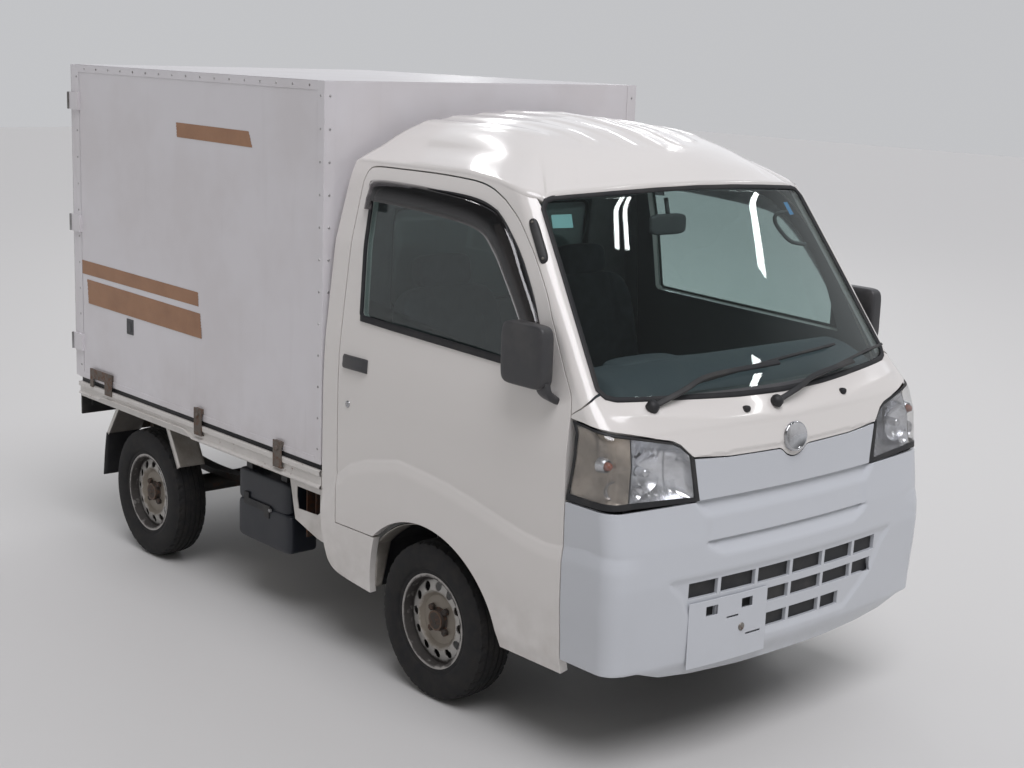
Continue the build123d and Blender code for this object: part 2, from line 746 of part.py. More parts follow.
def make_box_floor():
    floor = block((box_back_x + box_frame_wall, box_front_x - box_wall),
                  (-box_half + box_wall, box_half - box_wall), (box_floor_z, box_floor_z + box_floor_wall))
    for side in (-1, 1):
        y = (side * runner_y - runner_half, side * runner_y + runner_half)
        floor += block((box_back_x + 40, box_front_x - 40), y, (bed_floor_z, box_floor_z))
    return floor


def make_box_side():
    """The right-hand wall with the fixed leaves of the rear door's hinges."""
    side = block((box_back_x, box_front_x), (-box_half, -box_half + box_wall), (box_floor_z, box_top_z))
    pin_x = box_back_x - panel_gap - box_door_wall
    for z in hinge_heights:
        side += block((pin_x + hinge_pin_radius + seat_clearance, box_back_x + 45),
                      (-box_half - box_hinge_out, -box_half), (z - hinge_half, z + hinge_half))
    return side


def make_box_front():
    return block((box_front_x - box_wall, box_front_x), (-box_half + box_wall, box_half - box_wall),
                 (box_floor_z, box_top_z - box_wall))


def make_box_roof():
    return block((box_back_x, box_front_x), (-box_half + box_wall, box_half - box_wall),
                 (box_top_z - box_wall, box_top_z))


def make_box_rear_frame():
    half = box_half - box_wall
    low, high = box_floor_z, box_top_z - box_wall
    x = (box_back_x, box_back_x + box_frame_wall)
    ring_solid = block(x, (-half, half), (low, high))
    return ring_solid - block((x[0] - 1, x[1] + 1), (-half + box_frame_wall, half - box_frame_wall),
                              (low + box_floor_wall, high - box_frame_wall))


def make_box_door():
    """Right-hand rear door, its lock rod and handle, and three hinge knuckles on the corner."""
    inner_x = box_back_x - panel_gap
    outer_x = inner_x - box_door_wall
    door = block((outer_x, inner_x), (-box_half, -panel_gap / 2), (box_floor_z, box_top_z))
    rod_x = tail_x + lock_rod_radius
    for z in (box_floor_z + 60, box_top_z - 60, (box_floor_z + box_top_z) / 2):
        door += block((rod_x, outer_x), (lock_rod_y - 20, lock_rod_y + 20),
                      (z - lock_block_half, z + lock_block_half))
    door += rod((rod_x, lock_rod_y, box_floor_z + 15), (rod_x, lock_rod_y, box_top_z - 15),
                lock_rod_radius)
    hinge_y = -box_half - box_hinge_out
    for z in hinge_heights:
        low, high = z - hinge_half, z + hinge_half
        door += rod((outer_x, hinge_y, low), (outer_x, hinge_y, high), hinge_pin_radius)
        door += block((outer_x, outer_x + 5), (hinge_y, -box_half + 40), (low, high))
    return door


def make_tail_lamp():
    top = bed_floor_z - bed_floor_wall
    housing = block((bed_back_x - 30, bed_back_x), (-730, -540), (497, top - 20))
    return housing + block((bed_back_x, bed_back_x + 20), (-688, -600), (530, top))


make_all = {
    "frame": make_frame, "cab_glass": make_cab_glass, "bumper": make_bumper,
    "dashboard": make_dashboard, "steering_wheel": make_steering_wheel,
    "steering_column": make_steering_column,
    "front_suspension": make_front_suspension, "rear_axle": make_rear_axle, "engine": make_engine,
    "propshaft": make_propshaft, "exhaust": make_exhaust, "tanks": make_tanks, "bed": make_bed,
    "box_floor": make_box_floor, "box_front": make_box_front, "box_roof": make_box_roof,
    "box_rear_frame": make_box_rear_frame,
}
for name, make in make_all.items():
    save(name, make())
save("front_panel", front_skin(lid_seam_z, cowl_z))
for name, panel in split_cab(make_cab_shell()).items():
    save(name, Compound(children=panel.solids()))

# Pieces made on the right and mirrored to the left, one node each
for name, make in (("door", make_door), ("door_glass", make_door_glass), ("door_trim", make_door_trim),
                   ("knuckle", make_knuckle), ("box_side", make_box_side), ("box_door", make_box_door)):
    piece = make()
    save(f"{name}_right", piece)
    save(f"{name}_left", left(piece))
seat = make_seat()
save("seat_left", seat)
save("seat_right", left(seat))

# Pairs that share a node
lamp = make_headlamp()
save("headlamps", Compound(children=[*lamp.solids(), *left(lamp).solids()]))
guards = [solid for piece in make_guards() for solid in piece.solids()]
save("guards", Compound(children=guards + [left(solid).solids()[0] for solid in guards]))
tail = make_tail_lamp()
save("tail_lamps", Compound(children=[*tail.solids(), *left(tail).solids()]))

# Wheels: place, axle, track
for place, x, track in (("front", front_axle_x, track_front), ("rear", rear_axle_x, track_rear)):
    for side, sign in (("right", -1), ("left", 1)):
        y = sign * track / 2
        save(f"tyre_{place}_{side}", make_tyre(x, y))
        save(f"rim_{place}_{side}", make_rim(x, y, sign))
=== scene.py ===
import math
import bmesh
import bpy
import numpy as np
from mathutils import Matrix, Vector


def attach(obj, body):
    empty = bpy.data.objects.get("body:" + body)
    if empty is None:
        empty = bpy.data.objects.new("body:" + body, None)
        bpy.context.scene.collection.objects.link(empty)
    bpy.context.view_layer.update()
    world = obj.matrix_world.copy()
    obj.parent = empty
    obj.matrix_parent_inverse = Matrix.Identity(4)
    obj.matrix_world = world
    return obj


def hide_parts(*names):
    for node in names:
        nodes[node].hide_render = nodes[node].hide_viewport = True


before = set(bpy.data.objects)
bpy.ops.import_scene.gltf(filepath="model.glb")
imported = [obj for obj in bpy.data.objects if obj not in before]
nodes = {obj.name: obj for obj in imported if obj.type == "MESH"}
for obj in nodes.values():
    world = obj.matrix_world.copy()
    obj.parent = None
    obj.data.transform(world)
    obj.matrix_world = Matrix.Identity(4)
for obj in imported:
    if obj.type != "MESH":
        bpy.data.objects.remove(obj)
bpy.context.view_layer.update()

# All sizes below are in millimetres, in the truck's own frame: +X forward, +Y its left, +Z up.
mm = 0.001
frontAxleX, rearAxleX, axleZ = 790.0, -1110.0, 266.0
print("frame loaded:", len(nodes), "nodes")


# surfaces as arrays of points and lists of faces
def gridFaces(rows, columns, closed):
    # quads between neighbouring rows and columns; closed joins the last column to the first
    spans = columns if closed else columns - 1
    r, c = np.meshgrid(np.arange(rows - 1), np.arange(spans), indexing="ij")
    a, b = r * columns + c, r * columns + (c + 1) % columns
    return np.stack([a, b, b + columns, a + columns], -1)


def surface(points, closed=False, flip=False, keep=None):
    # a surface of two parameters: points holds rows x columns x 3
    faces = gridFaces(*points.shape[:2], closed)
    faces = faces[keep] if keep is not None else faces.reshape(-1, 4)
    return points.reshape(-1, 3), (faces[:, ::-1] if flip else faces).tolist()


def mirrored(part):
    # the same surface on the truck's other side
    return part[0] * (1, -1, 1), [face[::-1] for face in part[1]]


def bothSides(parts):
    return parts + [mirrored(part) for part in parts]


def onSide(hand, parts, drawn="Left"):
    # parts drawn on one side of the truck, or their mirror images for the other
    return parts if hand == drawn else [mirrored(part) for part in parts]


def slab(low, high):
    # the six faces between two corners
    x, y, z = zip(low, high)
    points = np.array([(x[i], y[j], z[k]) for i in (0, 1) for j in (0, 1) for k in (0, 1)], float)
    return points, [(0, 1, 3, 2), (4, 6, 7, 5), (0, 4, 5, 1), (2, 3, 7, 6), (0, 2, 6, 4), (1, 5, 7, 3)]


def block(x0, x1, y0, y1, z0, z1):
    # a slab from its limits, each pair in either order
    return slab((min(x0, x1), min(y0, y1), min(z0, z1)), (max(x0, x1), max(y0, y1), max(z0, z1)))


def sweep(path, profile, up=(0, 0, 1), closed=False):
    # carries a closed profile of (sideways, up) points along a path, each ring square to the path
    path, profile = np.asarray(path, float), np.asarray(profile, float)
    along = np.roll(path, -1, 0) - np.roll(path, 1, 0) if closed else np.gradient(path, axis=0)
    along /= np.linalg.norm(along, axis=1)[:, None]
    side = np.cross(along, up)
    side /= np.linalg.norm(side, axis=1)[:, None]
    top = np.cross(side, along)
    ring = path[:, None] + profile[..., 0, None] * side[:, None] + profile[..., 1, None] * top[:, None]
    if closed:
        ring = np.concatenate([ring, ring[:1]])
    points, faces = surface(ring, closed=True)
    count = ring.shape[1]
    if not closed:
        faces += [list(range(count))[::-1], list(range(len(points) - count, len(points)))]
    return points, faces


def circle(radius, count, squash=1.0):
    turn = np.linspace(0, 2 * np.pi, count, endpoint=False)
    return np.stack([radius * np.cos(turn), radius * squash * np.sin(turn)], -1)


def lathe(profile, centre, axis, count):
    # turns a profile of (radius, distance along the axis) about an axis through the centre
    profile = np.asarray(profile, float)
    turn = np.linspace(0, 2 * np.pi, count, endpoint=False)
    radius, along = profile[:, 0, None], np.repeat(profile[:, 1, None], count, 1)
    a, b = radius * np.cos(turn), radius * np.sin(turn)
    order = {"x": (along, a, b), "y": (b, along, a), "z": (a, b, along)}[axis]
    return surface(np.stack(order, -1) + np.array(centre, float), closed=True)


def through(points, count):
    # a smooth curve through the points, evenly spaced by length: cubic pieces with Catmull-Rom slopes
    points = np.asarray(points, float)
    ends = np.concatenate([2 * points[:1] - points[1:2], points, 2 * points[-1:] - points[-2:-1]])
    t = np.linspace(0, 1, 24, endpoint=False)[None, :, None]
    p0, p1, p2, p3 = (ends[i:len(ends) - 3 + i, None] for i in range(4))
    fine = 0.5 * (2 * p1 + (p2 - p0) * t + (2 * p0 - 5 * p1 + 4 * p2 - p3) * t ** 2
                  + (3 * p1 - p0 - 3 * p2 + p3) * t ** 3)
    return spaced(np.concatenate([fine.reshape(-1, points.shape[1]), points[-1:]]), count)


def spaced(points, count):
    # the same line with evenly spaced points
    points = np.asarray(points, float)
    run = np.concatenate([[0], np.cumsum(np.linalg.norm(np.diff(points, axis=0), axis=1))])
    at = np.linspace(0, run[-1], count)
    return np.stack([np.interp(at, run, points[:, i]) for i in range(points.shape[1])], -1)


def chain(*runs):
    # joins runs end to end and drops the doubled points
    return np.concatenate([run[:-1] for run in runs[:-1]] + [runs[-1]])


def widened(path, distance):
    # a closed line in a plane moved outwards, for a line that runs clockwise in (x, z)
    along = np.roll(path, -1, 0) - np.roll(path, 1, 0)
    along /= np.linalg.norm(along, axis=1)[:, None] + 1e-9
    return path + distance * np.stack([along[:, 1], -along[:, 0]], -1)


def between(first, last, rows):
    # straight steps from one line to another
    share = np.linspace(0, 1, rows)[:, None, None]
    return first * (1 - share) + last * share


def soften(value):
    # 0 to 1 with level ends
    value = np.clip(value, 0, 1)
    return value * value * (3 - 2 * value)


def addObject(name, data):
    thing = bpy.data.objects.new(name, data)
    bpy.context.scene.collection.objects.link(thing)
    return thing


def piece(name, parts, material, stands=(), body="truck", wall=0.0, bevel=0.0, inner=None,
          solid=False, sharp=None, weld=0.02):
    # joins surfaces into one object at the origin; modifiers give it its wall and rounded edges
    starts = np.cumsum([0] + [len(part[0]) for part in parts[:-1]])
    points = np.concatenate([part[0] for part in parts]) * mm
    faces = [[i + start for i in face] for part, start in zip(parts, starts.tolist()) for face in part[1]]
    mesh = bpy.data.meshes.new(name)
    mesh.from_pydata(points.tolist(), [], faces)
    work = bmesh.new()
    work.from_mesh(mesh)
    bmesh.ops.remove_doubles(work, verts=work.verts, dist=weld * mm)
    bmesh.ops.dissolve_degenerate(work, edges=work.edges, dist=0.001 * mm)
    if solid:
        bmesh.ops.recalc_face_normals(work, faces=work.faces)
    work.to_mesh(mesh)
    work.free()
    mesh.polygons.foreach_set("use_smooth", [True] * len(mesh.polygons))
    if sharp:
        mesh.set_sharp_from_angle(angle=math.radians(sharp))
    thing = addObject(name, mesh)
    mesh.materials.append(material)
    if inner:
        mesh.materials.append(inner)
    if wall:
        shell = thing.modifiers.new("wall", "SOLIDIFY")
        shell.thickness, shell.offset, shell.use_even_offset = wall * mm, -1, False
        shell.material_offset = 1 if inner else 0
    if bevel:
        edge = thing.modifiers.new("edge", "BEVEL")
        edge.width, edge.segments, edge.limit_method = bevel * mm, 2, "ANGLE"
        edge.angle_limit, edge.harden_normals = math.radians(38), True
    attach(thing, body)
    if stands:
        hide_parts(*stands)
    return thing


# materials
def hexColour(code):
    # an sRGB hex value as linear light
    parts = [int(code[i:i + 2], 16) / 255 for i in (1, 3, 5)]
    return (*[c / 12.92 if c <= 0.04045 else ((c + 0.055) / 1.055) ** 2.4 for c in parts], 1.0)


def addNode(tree, kind, settings=None, output=0):
    # adds a node and gives one of its outputs; a setting is a property, an input's value or another
    # node's output to link
    made = tree.nodes.new("ShaderNode" + kind)
    for key, value in (settings or {}).items():
        if isinstance(key, str) and key in made.bl_rna.properties:
            setattr(made, key, value)
        elif isinstance(value, bpy.types.NodeSocket):
            tree.links.new(value, made.inputs[key])
        else:
            made.inputs[key].default_value = value
    return made.outputs[output]


def newMaterial(name, settings):
    # a principled shader with its settings, and the object's own coordinates
    material = bpy.data.materials.new(name)
    material.use_nodes = True
    tree = material.node_tree
    shader = tree.nodes["Principled BSDF"]
    for key, value in settings.items():
        shader.inputs[key].default_value = value
    return material, tree, addNode(tree, "TexCoord", output="Object")


def dressed(material, colour, height=None, depth=0.0, distance=1.0):
    # the material with a base colour and a bump: depth is its strength, distance its height in millimetres
    tree = material.node_tree
    shader = tree.nodes["Principled BSDF"]
    tree.links.new(colour, shader.inputs["Base Color"])
    if height:
        bump = addNode(tree, "Bump", {"Strength": depth, "Distance": distance * mm, "Height": height})
        tree.links.new(bump, shader.inputs["Normal"])
    return material


def blended(tree, amount, *colours):
    # from the first colour to the second as amount goes from 0 to 1; hex values or other nodes' outputs
    first, second = (hexColour(c) if isinstance(c, str) else c for c in colours)
    return addNode(tree, "Mix", {"data_type": "RGBA", 0: amount, 6: first, 7: second}, 2)


def patchy(tree, place, size, low, high, detail, rough=0.6, stretch=(1, 1, 1)):
    # cloudy noise, size in millimetres, cut to 0 below low and 1 above high
    turned = addNode(tree, "Mapping", {"Scale": stretch, "Vector": place})
    noise = addNode(tree, "TexNoise", {"Scale": 1000 / size, "Detail": detail, "Roughness": rough,
                                       "Vector": turned})
    return addNode(tree, "MapRange", {"From Min": low, "From Max": high, "clamp": True, "Value": noise})


def sprayedPaint(name, colour, soil, gloss, soilTop, rust=0.0, shade=None, soiling=0.5, streaks=0.0):
    # baked enamel on pressed steel: smooth gloss with a fine orange peel, road dust low down and rust spots
    material, tree, place = newMaterial(name, {"Roughness": gloss, "IOR": 1.5, "Coat Weight": 0.5,
                                               "Coat Roughness": 0.05})
    base = blended(tree, patchy(tree, place, 420, 0.42, 0.62, 3), colour, shade or colour)
    height = addNode(tree, "SeparateXYZ", {"Vector": place}, "Z")
    low = addNode(tree, "MapRange", {"From Min": soilTop * mm, "From Max": (soilTop - 520) * mm, "clamp": True,
                                     "Value": height})
    streak = patchy(tree, place, 70, 0.58, 0.80, 4, stretch=(1, 1, 0.06))
    for first, second, share in ((low, patchy(tree, place, 90, 0.38, 0.72, 9), soiling),
                                 (streak, patchy(tree, place, 500, 0.40, 0.75, 2), streaks)):
        both = addNode(tree, "Math", {"operation": "MULTIPLY", 0: first, 1: second})
        base = blended(tree, addNode(tree, "Math", {"operation": "MULTIPLY", 0: both, 1: share}), base, soil)
    if rust:
        spots = patchy(tree, place, 26, 0.70 - 0.2 * rust, 0.80 - 0.2 * rust, 8, 0.7)
        base = blended(tree, spots, base, "#6b3a1e")
    return dressed(material, base, patchy(tree, place, 3.2, 0.2, 0.8, 2), 0.05, 0.15)


def plainPlastic(name, colour, rough, grain=1.1, depth=0.25, dusty=0.25, dust="#8a847a"):
    # moulded polypropylene or ABS: matt, with a fine leather-like grain and dust in the hollows
    material, tree, place = newMaterial(name, {"Roughness": rough, "IOR": 1.5})
    cloud = blended(tree, patchy(tree, place, 140, 0.45, 0.85, 6), colour, dust)
    soft = addNode(tree, "Mix", {"data_type": "RGBA", 0: dusty, 6: hexColour(colour), 7: cloud}, 2)
    return dressed(material, soft, patchy(tree, place, grain * 2.2, 0.3, 0.7, 2), depth, 0.25)


# the cab's skin
cab = dict(
    noseX=1697.5, halfWidth=737.5, backX=172.0,
    # height, setback from the nose, bow of the front, narrowing at the back and front, corner radius
    sections=((290, 29.5, 47, 12, 15, 60), (340, 7.5, 47, 2, 4, 62), (600, 0, 47, 0, 0, 62),
              (709, 5.5, 48, 0, 0, 62), (828, 18.5, 52, 0, 0, 62), (960, 24.5, 60, 0, 0, 62),
              (1040, 42.5, 68, 2, 6, 60), (1100, 79.5, 95, 5, 13, 52), (1133, 97.5, 110, 7, 19, 45),
              (1457, 321, 111, 37, 58, 45), (1677, 472.5, 111, 82, 94, 50), (1760, 537.5, 111, 115, 125, 92),
              (1920, 707.5, 111, 180, 190, 150)),
    softness=(13, 42),          # how far the sections blend into each other below and above the cowl
    creaseX=(205, 280, 355, 452, 624, 753, 883, 1013, 1144, 1256, 1351, 1430, 1527, 1640, 1697),
    creaseZ=(560, 660, 712, 747, 784, 775, 764, 742, 716, 696, 689, 694, 706, 700, 690),
    flare=5.5, ledge=52.0, creaseFade=(606, 700),
    bandZ=(300, 654, 703, 707, 777, 829, 832, 1000), bandDepth=(0, 0, 19, 6, 6, 20, 4, 4),
    bandEdgeZ=(655, 689, 711, 781, 811, 829, 850), bandInner=(294, 346, 362, 350, 388, 400, 410),
    bandOuter=(314, 378, 392, 388, 414, 426, 431),
    cowlY=(0, 300, 474, 669, 760), cowlZ=(1046, 1060, 1075, 1092, 1096), cowlFade=(560, 700),
    cowlFoot=1036, cowlTop=1128)

tableZ = np.arange(200.0, 2001.0, 3.0)
sectionRows = np.array(cab["sections"], float)


def blendedColumn(i):
    # each column of the table averaged over a raised-cosine window, narrow low down and wide above
    plain = np.interp(np.arange(80.0, 2121.0, 3.0), sectionRows[:, 0], sectionRows[:, i])
    made = []
    for reach in cab["softness"]:
        count = int(reach / 3)
        window = np.hanning(2 * count + 3)[1:-1]
        made.append(np.convolve(plain, window / window.sum(), "same")[40:40 + len(tableZ)])
    upper = soften((tableZ - 1080) / 60)
    return made[0] * (1 - upper) + made[1] * upper


setbacks, bows, backNarrows, frontNarrows, cornerRadii = (blendedColumn(i) for i in range(1, 6))


def sectionAt(z):
    # front x, bow, half width at the back, corner centre x and y, radius, edge y and corner angle
    front = cab["noseX"] - np.interp(z, tableZ, setbacks)
    bow, radius = np.interp(z, tableZ, bows), np.interp(z, tableZ, cornerRadii)
    frontHalf = cab["halfWidth"] - np.interp(z, tableZ, frontNarrows)
    backHalf = cab["halfWidth"] - np.interp(z, tableZ, backNarrows)
    angle = np.zeros_like(front)
    for _ in range(3):
        edge = frontHalf - radius + radius * np.sin(angle)
        angle = np.arctan(2 * bow / edge)
    cornerX, cornerY = front - bow - radius * np.cos(angle), frontHalf - radius
    return front, bow, backHalf, cornerX, cornerY, radius, edge, angle


def plainSkin(s, z):
    # plan curve at height z: s 0 to 1 is x = front - bow s^2, y = s edge; 1 to 2 is the corner's arc
    # turning from the bow's end to the side; 2 to 3 is the straight side back to the rear edge
    s, z = np.broadcast_arrays(np.asarray(s, float), np.asarray(z, float))
    front, bow, backHalf, cornerX, cornerY, radius, edge, angle = sectionAt(z)
    t = np.clip(s, 0, 1)
    turn = (np.pi / 2 - angle) * (1 - np.clip(s - 1, 0, 1))
    back = np.clip(s - 2, 0, 1.2)
    x = np.where(s < 1, front - bow * t * t, cornerX + radius * np.sin(turn))
    y = np.where(s < 1, t * edge, cornerY + radius * np.cos(turn))
    sideX = cornerX + (cab["backX"] - cornerX) * back
    sideY = cornerY + radius + (backHalf - cornerY - radius) * back
    x, y = np.where(s > 2, sideX, x), np.where(s > 2, sideY, y)
    return np.stack([x, y, z], -1)


def alongX(x, z):
    # the s where the skin has this x
    x, z = np.broadcast_arrays(np.asarray(x, float), np.asarray(z, float))
    front, bow, _, cornerX, _, radius, _, angle = sectionAt(z)
    t = np.sqrt(np.clip((front - x) / bow, 0, 1))
    bend = np.arcsin(np.clip((x - cornerX) / radius, 0, 1))
    side = 2 + (cornerX - x) / (cornerX - cab["backX"])
    return np.where(x <= cornerX, side, np.where(x < front - bow, 2 - bend / (np.pi / 2 - angle), t))


def alongY(y, z):
    # the s on the front or the corner where the skin has this y
    y, z = np.broadcast_arrays(np.asarray(y, float), np.asarray(z, float))
    cornerY, radius, edge, angle = sectionAt(z)[4:]
    bend = np.arccos(np.clip((y - cornerY) / radius, 0, 1))
    return np.where(y <= edge, y / edge, 2 - bend / (np.pi / 2 - angle))


def outward(s, z):
    # unit normal of the plain skin from small steps along s and z
    across = plainSkin(s + 0.004, z) - plainSkin(s - 0.004, z)
    upward = plainSkin(s, z + 2) - plainSkin(s, z - 2)
    normal = np.cross(across, upward)
    normal = np.where(normal[..., :1] * 0.3 + normal[..., 1:2] * 0.3 < 0, -normal, normal)
    return normal / np.linalg.norm(normal, axis=-1, keepdims=True)


def fadeIn(value, start, end):
    # 0 before start and 1 past end, with level ends
    return soften((value - start) / (end - start))


def cowlSwell(y, z):
    # the face is carried up to the pressed crease of the cowl, then falls back to the screen's foot
    crease = np.interp(y, cab["cowlY"], cab["cowlZ"])
    rise = 0.36 * (crease - cab["cowlFoot"]) * (1 - fadeIn(y, *cab["cowlFade"]))
    up = (z - cab["cowlFoot"]) / (crease - cab["cowlFoot"])
    down = (cab["cowlTop"] - z) / (cab["cowlTop"] - crease)
    return rise * np.clip(np.minimum(up, down), 0, 1)


def reliefOf(points):
    # the pressed shapes of the sides and nose, in millimetres outwards
    x, y, z = points[..., 0], points[..., 1], points[..., 2]
    drop = np.interp(x, cab["creaseX"], cab["creaseZ"]) - z
    shape = cab["flare"] * soften(drop / cab["ledge"]) * (1 - soften((drop - 150) / 180))
    shape = shape - 1.8 * np.exp(-np.clip(-drop, 0, 400) / 26) * (drop < 0)
    shape = shape - 1.8 * (drop >= 0) * soften(1 - drop / 14)
    sideways = fadeIn(y, *cab["creaseFade"])
    low = 1 - soften((330 - z) / 60)
    inner, outer = (np.interp(z, cab["bandEdgeZ"], cab[k]) for k in ("bandInner", "bandOuter"))
    depth = np.interp(z, cab["bandZ"], cab["bandDepth"]) * np.clip((outer - y) / (outer - inner), 0, 1)
    depth = depth * (x > 1500) * (z < 965)
    return shape * sideways * low - depth + cowlSwell(y, z) * (x > 1400)


def skin(s, z, out=0.0):
    # the finished skin, moved outwards by a distance
    points = plainSkin(s, z)
    relief = reliefOf(points) + out
    return points + outward(s, z) * relief[..., None]


def skinByX(xz, out=0.0):
    return skin(alongX(xz[..., 0], xz[..., 1]), xz[..., 1], out)


def skinByY(yz, out=0.0):
    return skin(alongY(yz[..., 0], yz[..., 1]), yz[..., 1], out)


# outlines in side view (x, z)
arch = dict(x=762.0, z=191.0, radius=400.0)
seamX, doorBackX, doorSillZ, doorStepZ, gap = 1427.0, 280.0, 292.0, 485.0, 4.5


def archRun(z0, z1, count):
    # the wheel arch from the sill at the front over the top to the step behind it
    radius = arch["radius"]
    a0 = math.asin((z0 - arch["z"]) / radius)
    a1 = math.pi - math.asin((z1 - arch["z"]) / radius)
    turn = np.linspace(a0, a1, count)
    return np.stack([arch["x"] + radius * np.cos(turn), arch["z"] + radius * np.sin(turn)], -1)


# matching runs of the door's outer edge and its window's edge, clockwise as seen from the left side
doorRuns = [
    (spaced([(seamX, 296), (seamX, 1085)], 66), spaced([(1279, 1190), (1266, 1228)], 66)),
    (through([(seamX, 1085), (1414, 1140), (1372, 1210), (1303, 1330), (1258, 1413), (1195, 1500),
              (1141, 1561), (1084, 1617), (1016, 1664)], 64),
     through([(1266, 1228), (1236, 1324), (1203, 1392), (1155, 1465), (1108, 1522), (1058, 1570),
              (1020, 1602), (985, 1626)], 64)),
    (through([(1016, 1664), (948, 1692), (874, 1707), (775, 1713), (663, 1716), (500, 1716), (350, 1714),
              (314, 1700), (300, 1662)], 70),
     through([(985, 1626), (925, 1645), (860, 1655), (775, 1660), (665, 1662), (540, 1663), (412, 1663),
              (376, 1651), (360, 1620)], 70)),
    (through([(300, 1662), (293, 1500), (284, 1250), (doorBackX, 1100)], 40),
     spaced([(360, 1620), (384, 1232)], 40)),
    (spaced([(doorBackX, 1100), (doorBackX, 497)], 44), spaced([(384, 1232), (396, 1220)], 44)),
    (chain(through([(doorBackX, 497), (284, 488), (293, doorStepZ)], 7),
           spaced([(293, doorStepZ), (arch["x"] - 271.4, doorStepZ)], 14)),
     spaced([(396, 1220), (560, 1214)], 20)),
    (archRun(doorSillZ, doorStepZ, 100)[::-1], spaced([(560, 1214), (1240, 1190)], 100)),
    (chain(spaced([archRun(doorSillZ, doorStepZ, 2)[0], (1419, doorSillZ)], 20),
           through([(1419, doorSillZ), (1425, 293), (seamX, 296)], 5)),
     spaced([(1240, 1190), (1279, 1190)], 24)),
]


def roundedCorners(corners, radius, count):
    # the corners of a closed line, each replaced by a turn of this radius
    corners = [np.array(c, float) for c in corners]
    made = []
    for i, corner in enumerate(corners):
        toBack, toNext = corners[i - 1] - corner, corners[(i + 1) % len(corners)] - corner
        toBack, toNext = toBack / np.linalg.norm(toBack), toNext / np.linalg.norm(toNext)
        half = math.acos(float(np.clip(toBack @ toNext, -1, 1))) / 2
        reach = radius / math.tan(half)
        a, b = corner + toBack * reach, corner + toNext * reach
        t = np.linspace(0, 1, count)[:, None]
        made.append(a * (1 - t) ** 2 + 2 * corner * t * (1 - t) + b * t ** 2)
    return np.concatenate(made)


print("skin ready")

# materials of the new pieces
white = sprayedPaint("cab enamel", "#dedad6", "#8d8273", gloss=0.18, soilTop=560)
# the bumper is the cab's white on the truck; its colour here is darker and bluer as painted shade and painted
# cool light on its front
bumperShadedPaint = sprayedPaint("bumper paint over polypropylene", "#c5c8cd", "#8a8781", gloss=0.24, soilTop=420)
boxPaint = sprayedPaint("painted aluminium sheet of the box", "#dcd9dc", "#8a8078", gloss=0.30, soilTop=900,
                        shade="#d6d2d4", soiling=0.3, streaks=0.22)
bedPaint = sprayedPaint("bed enamel", "#d3cfca", "#7f7465", gloss=0.32, soilTop=760, rust=0.35)
dirtyPaint = sprayedPaint("road-soiled enamel", "#a8a39c", "#5c554c", gloss=0.45, soilTop=900, soiling=0.75,
                          shade="#8f8a83")
mudPaint = sprayedPaint("enamel under road mud", "#67625d", "#413b35", gloss=0.6, soilTop=900, soiling=0.7,
                        shade="#57524d")
tankPlastic = plainPlastic("blue-black polyethylene", "#191d25", 0.42, 1.4, 0.3, 0.15, "#4c4b4a")
blackRubber = plainPlastic("EPDM rubber seal", "#15161a", rough=0.62, dusty=0.10, depth=0.08)
blackPlastic = plainPlastic("black polypropylene", "#1b1c1f", rough=0.55, dusty=0.18)
greyPlastic = plainPlastic("grey moulded plastic", "#4a4a4c", rough=0.52, dusty=0.15)
dashPlastic = plainPlastic("dashboard polypropylene", "#4d5157", rough=0.62, grain=1.6, dusty=0.12)
handlePlastic = plainPlastic("handle and mirror plastic", "#3a3a3c", rough=0.42, dusty=0.18)
trimPlastic = plainPlastic("light grey trim", "#77777a", rough=0.6, dusty=0.1)


def makeSheetMetal(name, colour, rough, metallic, rust, rustColour="#5b3018", size=40):
    # bare or thinly coated steel with patches of rust and grime
    material, tree, place = newMaterial(name, {"Roughness": rough, "Metallic": metallic})
    spots = patchy(tree, place, size, 0.66 - 0.3 * rust, 0.80 - 0.3 * rust, 9, 0.7)
    base = blended(tree, patchy(tree, place, 160, 0.4, 0.8, 6), colour, "#4a443c")
    for socket, clean, rusty in (("Metallic", metallic, 0.0), ("Roughness", rough, 0.85)):
        share = addNode(tree, "MapRange", {"To Min": clean, "To Max": rusty, "Value": spots})
        tree.links.new(share, tree.nodes["Principled BSDF"].inputs[socket])
    base = blended(tree, spots, base, rustColour)
    return dressed(material, base, patchy(tree, place, 5, 0.2, 0.8, 6), 0.35, 0.4)


def makeGlass(name, tint, clear, rough=0.0):
    # tinted sheet: mostly see-through, with a mirror-like reflection that grows at low angles
    material = bpy.data.materials.new(name)
    material.use_nodes = True
    tree = material.node_tree
    tree.nodes.clear()
    seen = addNode(tree, "BsdfTransparent", {"Color": hexColour(tint)})
    shiny = addNode(tree, "BsdfGlossy", {"Color": (0.9, 0.9, 0.9, 1), "Roughness": rough})
    facing = addNode(tree, "LayerWeight", {"Blend": 0.5}, "Facing")
    steep = addNode(tree, "Math", {"operation": "POWER", 0: facing, 1: 5.0})
    share = addNode(tree, "MapRange", {"To Min": 1 - clear, "To Max": 1.0, "Value": steep})
    out = tree.nodes.new("ShaderNodeOutputMaterial")
    tree.links.new(addNode(tree, "MixShader", {0: share, 1: seen, 2: shiny}), out.inputs["Surface"])
    return material


